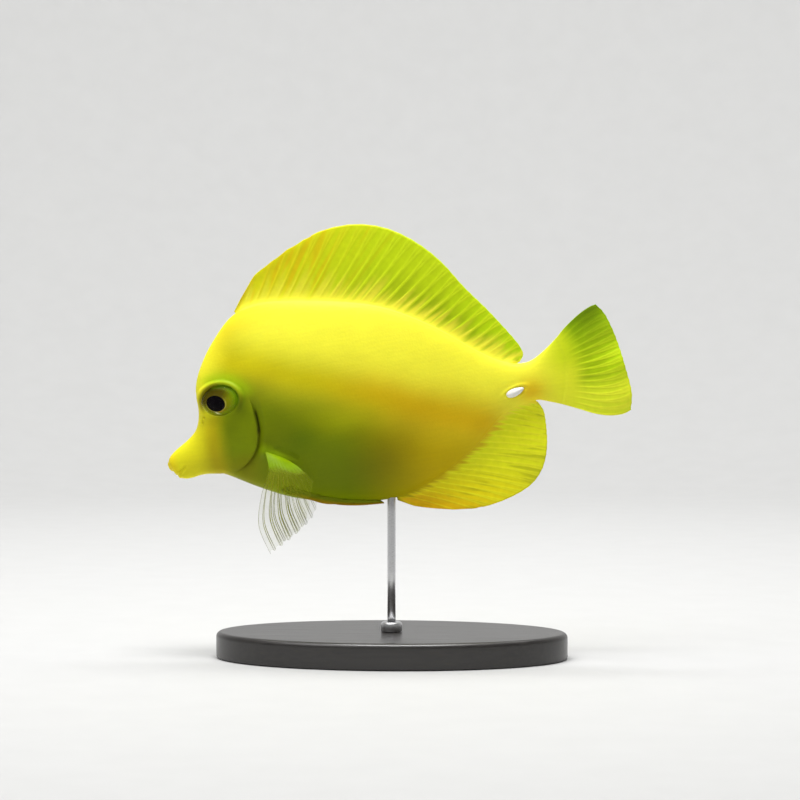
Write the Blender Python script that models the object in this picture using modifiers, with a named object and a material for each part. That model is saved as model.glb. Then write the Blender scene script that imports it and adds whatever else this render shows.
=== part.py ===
"""A life-size yellow tang, a tall, thin reef surgeonfish, swimming head down over a small stand.

The fish is made in its own frame, in millimetres: x runs from the snout's tip to the tail, y to
the fish's right and z up, with zero at the tip of the snout. An empty then poses it over the
stand. The scene is in metres, +Z up, with its origin at the centre of the base's underside.
"""

import math

import bmesh
import bpy
import numpy as np
from mathutils import Matrix, Vector

MM = 0.001
SEAM = 0.3
SIDES = {"left": -1, "right": 1}

# The pose: the fish swims with its head down, and the rod meets its belly at this x, z.
HEAD_DOWN_DEG = 10.0
ROD_MEETS_FISH = (73.3, -25.4)
BELLY_HEIGHT = 54.0

# The sections that the body is lofted through, from the snout's tip to the root of the tail.
# top and bottom are x, z on the outline. The widest line of a section passes bulge behind the
# middle of its chord and drop below it. half is the half width there. ridge_top and ridge_bottom
# are the half widths of the strips that carry the median fins, and round shapes the flank.
SECTION_FIELDS = "top_x top_z bottom_x bottom_z bulge drop half ridge_top ridge_bottom round".split()
SECTIONS = {
    "tip": (0.3, 0.3, 1.5, -2.9, 0.0, 0.0, 1.3, 0.0, 0.0, 0.8),
    "lips": (1.2, 2.0, 3.1, -4.7, -0.3, 0.0, 2.7, 0.0, 0.0, 0.85),
    "jaw": (3.9, 4.1, 5.1, -6.2, 0.0, 0.0, 3.4, 0.0, 0.0, 0.9),
    "snout": (8.2, 6.6, 7.6, -6.4, 0.4, 0.2, 4.0, 0.0, 0.0, 0.95),
    "bridge": (11.7, 9.8, 10.3, -6.0, 1.1, 0.5, 4.7, 0.0, 0.0, 1.0),
    "brow": (13.7, 15.8, 12.7, -6.0, 2.8, 1.2, 5.8, 0.0, 0.0, 1.0),
    "eye": (14.0, 23.8, 15.0, -6.3, 6.0, 2.2, 7.0, 0.0, 0.0, 1.0),
    "crown": (17.2, 31.0, 17.1, -6.7, 9.4, 3.4, 7.9, 0.0, 0.0, 1.0),
    "gill": (23.2, 39.0, 19.6, -7.4, 12.7, 8.7, 8.7, 0.0, 0.0, 1.05),
    "shoulder": (31.6, 46.3, 30.3, -13.9, 8.0, 7.2, 9.6, 0.8, 0.0, 1.1),
    "chest": (43.3, 48.2, 43.0, -19.9, 3.2, 4.5, 10.0, 0.9, 0.0, 1.15),
    "middle": (64.1, 44.7, 59.1, -23.3, 0.5, 3.0, 9.2, 0.9, 0.0, 1.2),
    "vent": (82.3, 39.4, 74.3, -25.0, 0.5, 1.5, 7.7, 0.9, 0.8, 1.25),
    "rear": (98.5, 29.6, 88.3, -21.2, 0.5, 0.7, 5.9, 0.9, 0.9, 1.2),
    "taper": (109.6, 20.4, 104.5, -12.4, 0.2, 0.3, 4.5, 0.9, 0.9, 1.1),
    "stem": (118.6, 14.4, 116.4, -2.6, 0.0, 0.0, 3.7, 0.8, 0.8, 1.0),
    "narrow": (126.5, 12.7, 126.7, -0.3, 0.0, 0.0, 3.2, 0.6, 0.6, 1.0),
    "flare": (132.6, 15.4, 131.6, -1.5, 1.0, 0.0, 2.4, 0.7, 0.7, 1.0),
    "root": (138.1, 19.4, 136.4, -3.4, 2.8, 0.0, 1.5, 0.9, 0.9, 1.0),
}
ROW = {name: row for row, name in enumerate(SECTIONS)}
TABLE = np.array(list(SECTIONS.values()))
LAST_ROW = len(TABLE) - 1
FLANK_POINTS = 15
STATIONS_PER_ROW = 3

# The stem of the tail is parted from the trunk a little ahead of its spines.
STEM_CUT = ROW["taper"] + 0.25

# Eye: half length, half thickness and half height of the ball, its place on the head, how far
# forward it looks, how far it stands out of the skin, and the radius of the rim of skin round it.
EYE_AT = (21.9, 18.2)
EYE_HALF = (6.6, 3.6, 5.7)
EYE_YAW_DEG = 14.0
EYE_STANDS_OUT = 1.5
ORBIT_RIM = 0.75

# Mouth: the slit's front end on the outline, its slope, depth and gap, and the lips' radius.
MOUTH_AT = (3.0, -4.5)
MOUTH_SLOPE_DEG = 33.0
MOUTH_DEPTH = 4.2
MOUTH_GAP = 0.4
LIP_RADIUS = 0.6

# Nostrils, two on each side ahead of the eye, as x, z and radius.
NOSTRILS = ((14.7, 11.6, 0.4), (15.5, 13.2, 0.5))
NOSTRIL_DEPTH = 1.0

# Gill cover: a raised plate from the cheek back to the gill opening. Its upper and lower edges are
# shares of the flank at its front and its rear. The trunk is tucked in behind its free edge.
COVER_FRONT = ROW["crown"] + 0.12
COVER_TOP = (0.50, 0.41)
COVER_BOTTOM = (0.78, 0.84)
COVER_RISE = 0.35
COVER_THICK = 1.5
HEAD_HALF_HEIGHT = 18.0
GILL_TUCK = 0.9
GILL_SPAN = (0.3, 0.45, 0.8, 0.95)

# Tail spine: the folded white blade on each side of the stem, leaning up towards the tail.
SPINE_AT = (121.2, 3.6)
SPINE_HALF = (3.2, 0.9, 1.35)
SPINE_LEAN_DEG = 14.0

# Fins. A ray is a ridge on both faces of the web, RAY_WIDTH of the ray spacing to each side.
RAY_RISE = 0.2
RAY_WIDTH = 0.26
SPINE_STOUTER = 1.8
SPINE_TIP = 0.5
WEB_HALF = 0.27
FIN_ROOT_HALF = 0.8

# Median fins: free edges in order along the fish, their roots as rows of the body, spines and
# rays, and sweep, which leans the rays back where it is less than 1.
DORSAL_EDGE = (
    (31.6, 46.9), (35.2, 51.8), (41.0, 58.3), (46.8, 61.4), (52.4, 64.3), (58.0, 66.5), (64.4, 68.6),
    (71.2, 69.4), (78.0, 69.0), (84.9, 67.1), (91.5, 63.6), (98.4, 57.9), (104.4, 50.9), (110.3, 41.5),
    (116.5, 32.9), (121.8, 24.8), (125.2, 18.9), (125.9, 15.6), (124.4, 13.6),
)
DORSAL_ROOT = (ROW["shoulder"] + 0.03, ROW["narrow"] - 0.42)
DORSAL_SPINES = 5
DORSAL_RAYS = 24
DORSAL_SWEEP = 0.68
ANAL_EDGE = (
    (75.4, -25.8), (78.2, -27.6), (81.8, -29.2), (89.0, -31.3), (97.1, -32.8), (103.4, -33.1),
    (109.8, -32.3), (116.2, -30.6), (121.0, -28.4), (124.5, -25.3), (126.9, -21.5), (128.7, -16.0),
    (129.5, -9.6), (129.5, -4.4), (127.9, -1.1),
)
ANAL_ROOT = (ROW["vent"] + 0.07, ROW["narrow"] + 0.12)
ANAL_SPINES = 3
ANAL_RAYS = 20
ANAL_SWEEP = 0.45
TAIL_UPPER = ((138.4, 20.3), (141.6, 22.9), (146.6, 26.0), (150.6, 27.7), (153.0, 28.1))
TAIL_REAR = ((153.0, 28.1), (155.2, 25.0), (156.8, 20.4), (158.2, 14.0), (159.2, 6.0), (159.9, -3.0), (158.6, -9.2))
TAIL_LOWER = ((136.7, -4.3), (141.6, -6.5), (146.4, -8.7), (150.9, -10.0), (155.4, -10.2), (158.6, -9.2))
TAIL_RAYS = 16

# Pectoral fins on the left side: the first, middle and last ray, each through five points x, y, z,
# with y measured out from the skin at its root. The rays leave the flank and bend down to hang.
PECTORAL_KEYS = (
    ((34.6, 0.7, -2.0), (35.8, 5.0, -6.2), (31.8, 8.0, -15.4), (29.2, 8.6, -25.4), (31.4, 8.4, -35.0)),
    ((38.0, 0.7, -4.0), (40.8, 5.4, -7.8), (42.0, 8.2, -14.4), (42.6, 9.2, -21.4), (43.8, 9.4, -28.0)),
    ((41.4, 0.7, -6.2), (44.6, 3.0, -8.2), (46.8, 4.6, -10.2), (48.4, 5.6, -12.2), (49.6, 6.2, -14.0)),
)
PECTORAL_RAYS = 15

# Pelvic fins, folded back along the belly: roots and tips of the first and last ray as x, z, how
# far their middles sag, and their distance off the skin.
PELVIC_ROOT = ((38.4, -16.6), (40.6, -15.4))
PELVIC_TIP = ((70.6, -26.0), (69.6, -24.4))
PELVIC_SAG = 2.4
PELVIC_CLEAR = 0.9
PELVIC_RAYS = 6

# Stand: an oval base, and one short rod through a collar into a blind hole in the belly.
BASE_LENGTH = 120.0
BASE_WIDTH = 66.0
BASE_HEIGHT = 9.0
BASE_ROUNDING = 1.6
ROD_RADIUS = 1.4
ROD_IN_BELLY = 6.0
COLLAR_RADIUS = 3.6
COLLAR_HEIGHT = 3.2

# Each finish: colour, roughness and metallic value.
FINISHES = {
    "skin": ((0.93, 0.80, 0.02, 1.0), 0.4, 0.0),
    "fin": ((0.72, 0.83, 0.03, 1.0), 0.45, 0.0),
    "clear_fin": ((0.80, 0.84, 0.38, 1.0), 0.4, 0.0),
    "eye": ((0.30, 0.27, 0.03, 1.0), 0.12, 0.0),
    "spine": ((0.93, 0.92, 0.90, 1.0), 0.35, 0.0),
    "base": ((0.05, 0.05, 0.055, 1.0), 0.4, 0.0),
    "steel": ((0.60, 0.60, 0.62, 1.0), 0.3, 1.0),
}
SMOOTH_UP_TO_DEG = 35.0


def clear_scene():
    for obj in list(bpy.data.objects):
        bpy.data.objects.remove(obj)


def collection(name):
    made = bpy.data.collections.new(name)
    bpy.context.scene.collection.children.link(made)
    return made


def material(name):
    colour, roughness, metallic = FINISHES[name]
    made = bpy.data.materials.new(name)
    made.use_nodes = True
    shader = made.node_tree.nodes["Principled BSDF"]
    shader.inputs["Base Color"].default_value = colour
    shader.inputs["Roughness"].default_value = roughness
    shader.inputs["Metallic"].default_value = metallic
    return made


def smooth_path(points, at):
    """Points on a smooth curve through points, where at counts from 0 at the first one."""
    points = np.asarray(points, float)
    at = np.clip(np.atleast_1d(at), 0, len(points) - 1)
    first = np.minimum(at.astype(int), len(points) - 2)
    t = (at - first)[:, None]
    before = points[np.maximum(first - 1, 0)]
    start, end = points[first], points[first + 1]
    after = points[np.minimum(first + 2, len(points) - 1)]
    return 0.5 * (
        2 * start
        + (end - before) * t
        + (2 * before - 5 * start + 4 * end - after) * t**2
        + (3 * start - before - 3 * end + after) * t**3
    )


def along(points, shares):
    """Points at the given shares of the length of the smooth curve through points."""
    fine = np.linspace(0, len(points) - 1, 40 * len(points))
    path = smooth_path(points, fine)
    steps = np.linalg.norm(np.diff(path, axis=0), axis=1)
    length = np.concatenate([[0], np.cumsum(steps)])
    return smooth_path(points, np.interp(np.asarray(shares) * length[-1], length, fine))


def shifted(line, distance):
    """A line in x, z shifted square to itself: down its right side, seen with x right and z up."""
    ahead = np.gradient(line, axis=0)
    ahead /= np.linalg.norm(ahead, axis=1)[:, None]
    return line + np.stack([ahead[:, 1], -ahead[:, 0]], axis=1) * distance


def ring(row, turns=None):
    """One section of the body at a row of the table, which may lie between two rows: x, z along its
    line and the half width at each point. turns are angles from 0 at the top to pi at the bottom."""
    if turns is None:
        turns = np.linspace(0, math.pi, FLANK_POINTS)
    m = dict(zip(SECTION_FIELDS, smooth_path(TABLE, row)[0]))
    top = np.array([m["top_x"], m["top_z"]])
    bottom = np.array([m["bottom_x"], m["bottom_z"]])
    up = (top - bottom) / np.linalg.norm(top - bottom)
    back = np.array([up[1], -up[0]])
    middle = (top + bottom) / 2
    widest = middle + back * m["bulge"] - up * m["drop"]
    c = np.cos(turns)[:, None]
    line = widest + c * (top - bottom) / 2 + c**2 * (middle - widest)
    ridge = np.where(np.cos(turns) > 0, m["ridge_top"], m["ridge_bottom"]).clip(0)
    half = ridge + (m["half"] - ridge) * np.sin(turns).clip(0) ** m["round"]
    return line, half


def sample_skin():
    fine = np.linspace(0, math.pi, 241)
    rings = [ring(row, fine) for row in np.linspace(0, LAST_ROW, 721)]
    return np.concatenate([r[0] for r in rings]), np.concatenate([r[1] for r in rings])


SKIN = sample_skin()


def skin_half(x, z, within=0.0):
    """The body's half width beside the point x, z of its outline plane, or its greatest half width
    within that distance of the point, which is 0 where the point is clear of the outline."""
    lines, halves = SKIN
    away = (lines[:, 0] - x) ** 2 + (lines[:, 1] - z) ** 2
    if within:
        return float(halves[away < within**2].max(initial=0.0))
    return float(halves[np.argmin(away)])


def new_object(name, mesh, finish, home):
    obj = bpy.data.objects.new(name, mesh)
    mesh.materials.append(finish)
    home.objects.link(obj)
    return obj


def loft(name, rings, finish, home):
    """A closed body through rings, each the same on both sides of y = 0 and capped at both ends."""
    count = len(rings[0][0])
    points, faces = [], []
    for line, half in rings:
        points += [(x, -y, z) for (x, z), y in zip(line, half)]
        points += [(x, y, z) for (x, z), y in zip(line, half)]
    loop = list(range(count)) + list(range(2 * count - 1, count - 1, -1))
    for i in range(len(rings) - 1):
        here, there = i * 2 * count, (i + 1) * 2 * count
        for a, b in zip(loop, loop[1:] + loop[:1]):
            faces.append((here + a, here + b, there + b, there + a))
    for base in (0, (len(rings) - 1) * 2 * count):
        for i in range(count - 1):
            faces.append((base + i, base + i + 1, base + count + i + 1, base + count + i))
    mesh = bpy.data.meshes.new(name)
    mesh.from_pydata([Vector(p) * MM for p in points], [], faces)
    bm = bmesh.new()
    bm.from_mesh(mesh)
    bmesh.ops.remove_doubles(bm, verts=bm.verts, dist=0.002 * MM)
    bmesh.ops.recalc_face_normals(bm, faces=bm.faces)
    bm.to_mesh(mesh)
    bm.free()
    return new_object(name, mesh, finish, home)


def sheet(name, centre, half, finish, home):
    """A thin sheet through a grid of centre points, half as thick at each as half says. Its squares
    are all split the same way, so that its two faces keep apart where it curves."""
    rows, columns = half.shape
    faces = []
    for a in range(rows * columns - columns):
        if (a + 1) % columns:
            faces += [(a, a + 1, a + columns), (a + 1, a + columns + 1, a + columns)]
    mesh = bpy.data.meshes.new(name)
    mesh.from_pydata([Vector(p) * MM for p in centre.reshape(-1, 3)], [], faces)
    obj = new_object(name, mesh, finish, home)
    thickest = float(half.max())
    group = obj.vertex_groups.new(name="thickness")
    for index, value in enumerate(half.ravel()):
        group.add([index], float(value) / thickest, "REPLACE")
    solidify = obj.modifiers.new("thickness", "SOLIDIFY")
    solidify.thickness = 2 * thickest * MM
    solidify.offset = 0.0
    solidify.vertex_group = group.name
    return obj


def tube(name, path, radius, finish, home, closed=False):
    """A tube along path, capped or closed into a ring, made as a curve and turned into a mesh."""
    data = bpy.data.curves.new(name, "CURVE")
    data.dimensions = "3D"
    data.bevel_depth = radius * MM
    data.bevel_resolution = 1
    data.use_fill_caps = True
    spline = data.splines.new("POLY")
    spline.points.add(len(path) - 1)
    spline.use_cyclic_u = closed
    for point, at in zip(spline.points, path):
        point.co = (*(Vector(at) * MM), 1.0)
    curve = bpy.data.objects.new(name + "_line", data)
    home.objects.link(curve)
    graph = bpy.context.evaluated_depsgraph_get()
    mesh = bpy.data.meshes.new_from_object(curve.evaluated_get(graph))
    bpy.data.objects.remove(curve)
    weld(mesh)
    return new_object(name, mesh, finish, home)


def weld(mesh):
    bm = bmesh.new()
    bm.from_mesh(mesh)
    bmesh.ops.remove_doubles(bm, verts=bm.verts, dist=0.001 * MM)
    bm.to_mesh(mesh)
    bm.free()


def ellipsoid(name, centre, half, finish, home, lean_deg=0.0, yaw_deg=0.0, segments=24, rings=12, grow=0.0):
    """A ball with three half axes, its x axis leant up about y and then turned about z."""
    mesh = bpy.data.meshes.new(name)
    bm = bmesh.new()
    bmesh.ops.create_uvsphere(bm, u_segments=segments, v_segments=rings, radius=MM)
    bmesh.ops.rotate(bm, verts=bm.verts, matrix=Matrix.Rotation(math.pi / 2, 3, "X"))
    size = Matrix.Diagonal([h + grow for h in half]).to_4x4()
    lean = Matrix.Rotation(-math.radians(lean_deg), 4, "Y")
    yaw = Matrix.Rotation(math.radians(yaw_deg), 4, "Z")
    place = Matrix.Translation(Vector(centre) * MM)
    bmesh.ops.transform(bm, verts=bm.verts, matrix=place @ yaw @ lean @ size)
    bm.to_mesh(mesh)
    bm.free()
    return new_object(name, mesh, finish, home)


def cylinder(name, radii, bottom, top, segments, finish, home):
    """An upright cylinder, round or oval, on the world's z axis."""
    mesh = bpy.data.meshes.new(name)
    bm = bmesh.new()
    bmesh.ops.create_cone(bm, cap_ends=True, segments=segments, radius1=1.0, radius2=1.0, depth=1.0)
    size = Matrix.Diagonal(Vector((*radii, top - bottom)) * MM).to_4x4()
    lift = Matrix.Translation((0, 0, (top + bottom) / 2 * MM))
    bmesh.ops.transform(bm, verts=bm.verts, matrix=lift @ size)
    bm.to_mesh(mesh)
    bm.free()
    return new_object(name, mesh, finish, home)


def apply_modifiers(obj):
    graph = bpy.context.evaluated_depsgraph_get()
    mesh = bpy.data.meshes.new_from_object(obj.evaluated_get(graph))
    obj.modifiers.clear()
    obj.data = mesh


def combine(obj, others, operation):
    """One Boolean of obj with all the others, applied. The others are then removed."""
    group = collection("cutters_of_" + obj.name)
    for other in others:
        apply_modifiers(other)
        for home in list(other.users_collection):
            home.objects.unlink(other)
        group.objects.link(other)
    boolean = obj.modifiers.new(operation.lower(), "BOOLEAN")
    boolean.operation = operation
    boolean.operand_type = "COLLECTION"
    boolean.collection = group
    boolean.solver = "EXACT"
    apply_modifiers(obj)
    for other in others:
        bpy.data.objects.remove(other)
    bpy.data.collections.remove(group)
    keep_largest(obj)


def keep_largest(obj):
    """Drops loose scraps that a cut leaves, and keeps the largest closed surface."""
    weld(obj.data)
    bm = bmesh.new()
    bm.from_mesh(obj.data)
    unseen, shells = set(bm.verts), []
    while unseen:
        stack, shell = [unseen.pop()], []
        while stack:
            vert = stack.pop()
            shell.append(vert)
            for edge in vert.link_edges:
                other = edge.other_vert(vert)
                if other in unseen:
                    unseen.remove(other)
                    stack.append(other)
        shells.append(shell)
    shells.sort(key=len)
    bmesh.ops.delete(bm, geom=[v for shell in shells[:-1] for v in shell], context="VERTS")
    bm.to_mesh(obj.data)
    bm.free()


def eye_centre(side):
    out = skin_half(*EYE_AT) + EYE_STANDS_OUT - EYE_HALF[1]
    return (EYE_AT[0], side * out, EYE_AT[1])


def make_eye(name, side, finish, home, grow=0.0):
    centre = eye_centre(side)
    return ellipsoid(name, centre, EYE_HALF, finish, home, yaw_deg=side * EYE_YAW_DEG, grow=grow)


def orbit_rim(side, finish, home):
    """The raised ring of skin round an eye, laid on the skin."""
    yaw = math.radians(EYE_YAW_DEG)
    path = []
    for turn in np.linspace(0, 2 * math.pi, 28, endpoint=False):
        x = EYE_AT[0] + (EYE_HALF[0] + ORBIT_RIM / 2) * math.cos(turn) * math.cos(yaw)
        z = EYE_AT[1] + (EYE_HALF[2] + ORBIT_RIM / 2) * math.sin(turn)
        path.append((x, side * skin_half(x, z), z))
    return tube("orbit", path, ORBIT_RIM, finish, home, closed=True)


def mouth_frame():
    """The mouth slit's front end, its direction into the head and the direction up across it."""
    slope = math.radians(MOUTH_SLOPE_DEG)
    inward = Vector((math.cos(slope), math.sin(slope)))
    return Vector(MOUTH_AT), inward, Vector((-inward.y, inward.x))


def lip(above, finish, home):
    """The upper or lower lip: a ridge beside the slit, from one corner of the mouth to the other."""
    front, inward, up = mouth_frame()
    across = up * (LIP_RADIUS * 0.8 + MOUTH_GAP / 2) * (1 if above else -1)
    side = []
    for depth in (MOUTH_DEPTH, 3.4, 2.6, 1.8, 1.1, 0.5):
        at = front + inward * depth + across
        side.append((at.x, skin_half(at.x, at.y) - LIP_RADIUS * 0.6, at.y))
    nose = front + inward * 0.2 + across
    path = [(x, -y, z) for x, y, z in side] + [(nose.x, 0.0, nose.y)] + side[::-1]
    return tube("lip", path, LIP_RADIUS, finish, home)


def mouth_cutter(finish, home):
    """A thin blade that opens the line of the mouth, from well outside the snout to its depth."""
    front, inward, up = mouth_frame()
    reach, width = 4.0, 14.0
    mesh = bpy.data.meshes.new("mouth")
    bm = bmesh.new()
    bmesh.ops.create_cube(bm, size=1.0)
    size = Matrix.Diagonal(Vector((MOUTH_DEPTH + reach, width, MOUTH_GAP)) * MM).to_4x4()
    middle = front + inward * (MOUTH_DEPTH - reach) / 2
    place = Matrix.Translation(Vector((middle.x, 0, middle.y)) * MM)
    turn = Matrix.Rotation(-math.radians(MOUTH_SLOPE_DEG), 4, "Y")
    bmesh.ops.transform(bm, verts=bm.verts, matrix=place @ turn @ size)
    bm.to_mesh(mesh)
    bm.free()
    return new_object("mouth", mesh, finish, home)


def cover_patch(name, side, first, last, grow, finish, home):
    """A curved tile of the cheek from row first to row last, sunk into the skin and standing a
    little out of it, and grown all round by grow to make room for itself."""
    centre = []
    for row in np.linspace(first, last, 7):
        back = (row - COVER_FRONT) / (ROW["gill"] - COVER_FRONT)
        upper = COVER_TOP[0] + (COVER_TOP[1] - COVER_TOP[0]) * back
        lower = COVER_BOTTOM[0] + (COVER_BOTTOM[1] - COVER_BOTTOM[0]) * back
        edge = grow / HEAD_HALF_HEIGHT
        line, width = ring(row, np.linspace(upper * math.pi - edge, lower * math.pi + edge, 8))
        out = width + (COVER_RISE - COVER_THICK) / 2
        centre.append([(x, side * y, z) for (x, z), y in zip(line, out)])
    centre = np.array(centre)
    half = np.full(centre.shape[:2], (COVER_THICK + COVER_RISE) / 2 + grow)
    return sheet(name, centre, half, finish, home)


def make_head(finish, home):
    rows = np.linspace(0, ROW["gill"], ROW["gill"] * STATIONS_PER_ROW + 1)
    head = loft("head", [ring(row) for row in rows], finish, home)
    added = [lip(True, finish, home), lip(False, finish, home)]
    added += [orbit_rim(side, finish, home) for side in SIDES.values()]
    combine(head, added, "UNION")
    cutters = [mouth_cutter(finish, home)]
    for side in SIDES.values():
        cutters.append(make_eye("socket", side, finish, home, grow=SEAM))
        cutters.append(cover_patch("pocket", side, COVER_FRONT - 0.06, ROW["gill"] + 0.3, SEAM, finish, home))
        for x, z, radius in NOSTRILS:
            at = (x, side * skin_half(x, z), z)
            pit = (radius, NOSTRIL_DEPTH, radius)
            cutters.append(ellipsoid("nostril", at, pit, finish, home, segments=10, rings=6))
    combine(head, cutters, "DIFFERENCE")
    return head


def make_trunk(finish, home):
    turns = np.linspace(0, math.pi, FLANK_POINTS)
    line, half = ring(ROW["gill"], turns)
    tucked = GILL_TUCK * np.interp(turns / math.pi, GILL_SPAN, (0.0, 1.0, 1.0, 0.0))
    front = (shifted(line, -SEAM), half - tucked)
    rows = np.linspace(ROW["gill"] + 0.16, STEM_CUT, 6 * STATIONS_PER_ROW)
    trunk = loft("trunk", [front] + [ring(row) for row in rows], finish, home)
    lean = math.radians(HEAD_DOWN_DEG)
    up = Vector((math.sin(lean), 0, math.cos(lean)))
    foot = Vector((ROD_MEETS_FISH[0], 0, ROD_MEETS_FISH[1]))
    hole = [foot - up * 10, foot + up * (ROD_IN_BELLY + SEAM)]
    combine(trunk, [tube("hole", hole, ROD_RADIUS + SEAM, finish, home)], "DIFFERENCE")
    return trunk


def make_tail_stem(finish, home):
    line, half = ring(STEM_CUT)
    rows = np.linspace(STEM_CUT + 0.12, LAST_ROW, 4 * STATIONS_PER_ROW)
    stem = loft("tail_stem", [(shifted(line, -SEAM), half)] + [ring(row) for row in rows], finish, home)
    grooves = [make_tail_spine("groove", side, finish, home, grow=SEAM) for side in SIDES.values()]
    combine(stem, grooves, "DIFFERENCE")
    return stem


def make_tail_spine(name, side, finish, home, grow=0.0):
    centre = (SPINE_AT[0], side * (skin_half(*SPINE_AT) + 0.1), SPINE_AT[1])
    return ellipsoid(name, centre, SPINE_HALF, finish, home, SPINE_LEAN_DEG, 0.0, 16, 10, grow)


def ray_columns(rays):
    """The columns of a ribbed fin as shares of it from its first ray to its last, whether each is a
    ray's crest, and the number of its ray."""
    shares, crest, number = [], [], []
    for ray in range(rays):
        for step in (-RAY_WIDTH, 0.0, RAY_WIDTH):
            share = (ray + step) / (rays - 1)
            if 0 <= share <= 1:
                shares.append(share)
                crest.append(float(step == 0))
                number.append(ray)
    return np.array(shares), np.array(crest), np.array(number)


def ribbed(reach, crest, number, spines, root_half):
    """The half thickness of a fin: a web that thins out from the root, with rays raised on it."""
    reach = reach[:, None]
    web = WEB_HALF + (root_half - WEB_HALF) * (1 - reach) ** 2
    rise = RAY_RISE * np.minimum(1, 6 * reach) * (1 - 0.5 * reach)
    return web + rise * crest * np.where(number < spines, SPINE_STOUTER, 1.0)


def body_edge(rows, end):
    """The body's top (end 0) or bottom (end -1) edge between two rows, moved out by the seam."""
    line = np.array([ring(row)[0][end] for row in np.linspace(*rows, 24)])
    return shifted(line, -SEAM if end == 0 else SEAM)


def median_fin(name, root, edge, spines, rays, sweep, finish, home):
    """A fin on the outline, whose rays run from its root line on the body to its free edge."""
    shares, crest, number = ray_columns(spines + rays)
    reach = np.array([0, 0.12, 0.32, 0.55, 0.78, 1.0])
    start, end = along(root, shares), along(edge, shares**sweep)
    inward = (start - end) / np.maximum(np.linalg.norm(start - end, axis=1), 1.0)[:, None]
    end = end + inward * (SPINE_TIP * (1 - crest) * (number < spines))[:, None]
    flat = start + (end - start) * reach[:, None, None]
    centre = np.stack([flat[..., 0], np.zeros(flat.shape[:2]), flat[..., 1]], axis=2)
    half = ribbed(reach, crest, number, spines, FIN_ROOT_HALF)
    return sheet(name, centre, half, finish, home)


def make_tail_fin(finish, home):
    """A fan between the stem's end, the rear edge and the two outer rays."""
    shares, crest, number = ray_columns(TAIL_RAYS)
    reach = np.array([0, 0.1, 0.26, 0.45, 0.64, 0.82, 1.0])
    root = along(shifted(ring(LAST_ROW)[0], -SEAM), shares)
    rear, upper, lower = along(TAIL_REAR, shares), along(TAIL_UPPER, reach), along(TAIL_LOWER, reach)
    s, t = shares[None, :, None], reach[:, None, None]
    corners = (1 - s) * (1 - t) * upper[0] + s * (1 - t) * lower[0] + (1 - s) * t * upper[-1] + s * t * lower[-1]
    across = (1 - s) * upper[:, None] + s * lower[:, None]
    flat = (1 - t) * root + t * rear + across - corners
    centre = np.stack([flat[..., 0], np.zeros(flat.shape[:2]), flat[..., 1]], axis=2)
    return sheet("tail_fin", centre, ribbed(reach, crest, number, 0, FIN_ROOT_HALF), finish, home)


def make_pectoral(name, side, finish, home):
    """A fan of rays that leaves the flank sideways, bends down at its elbow and hangs."""
    shares, crest, number = ray_columns(PECTORAL_RAYS)
    reach = np.linspace(0, 1, 10)
    keys = np.array(PECTORAL_KEYS, float)
    for key in keys:
        key[:, 1] += skin_half(key[0, 0], key[0, 2])
    rays = smooth_path(keys.reshape(len(keys), -1), shares * (len(keys) - 1))
    lines = [smooth_path(ray.reshape(-1, 3), reach * (keys.shape[1] - 1)) for ray in rays]
    centre = np.stack(lines, axis=1) * (1, side, 1)
    return sheet(name, centre, ribbed(reach, crest, number, 0, 0.6), finish, home)


def make_pelvic(name, side, finish, home):
    """A pointed fin folded back along the belly, just clear of its skin."""
    shares, crest, number = ray_columns(PELVIC_RAYS)
    reach = np.linspace(0, 1, 11)
    lines = []
    for share in shares:
        root = np.array(PELVIC_ROOT[0]) * (1 - share) + np.array(PELVIC_ROOT[1]) * share
        tip = np.array(PELVIC_TIP[0]) * (1 - share) + np.array(PELVIC_TIP[1]) * share
        flat = root + (tip - root) * reach[:, None]
        flat[:, 1] -= PELVIC_SAG * np.sin(math.pi * reach) * (1 - 0.4 * share)
        out = np.array([skin_half(x, z, PELVIC_CLEAR) for x, z in flat]) + PELVIC_CLEAR
        out[1:-1] = (out[:-2] + 2 * out[1:-1] + out[2:]) / 4
        lines.append(np.stack([flat[:, 0], side * out, flat[:, 1]], axis=1))
    half = ribbed(reach, crest * 0.5, number, 1, 0.3)
    return sheet(name, np.stack(lines, axis=1), half, finish, home)


def make_stand(finishes, home):
    half_size = (BASE_LENGTH / 2, BASE_WIDTH / 2)
    base = cylinder("stand_base", half_size, 0.0, BASE_HEIGHT, 48, finishes["base"], home)
    bevel = base.modifiers.new("rounded edge", "BEVEL")
    bevel.width = BASE_ROUNDING * MM
    bevel.segments = 3
    bevel.limit_method = "ANGLE"
    foot = BASE_HEIGHT + SEAM
    collar_top = foot + COLLAR_HEIGHT
    steel = finishes["steel"]
    collar = cylinder("stand_collar", (COLLAR_RADIUS,) * 2, foot, collar_top, 24, steel, home)
    rod_top = BELLY_HEIGHT + ROD_IN_BELLY
    rod = cylinder("stand_rod", (ROD_RADIUS,) * 2, collar_top + SEAM, rod_top, 24, steel, home)
    return [base, collar, rod]


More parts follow.
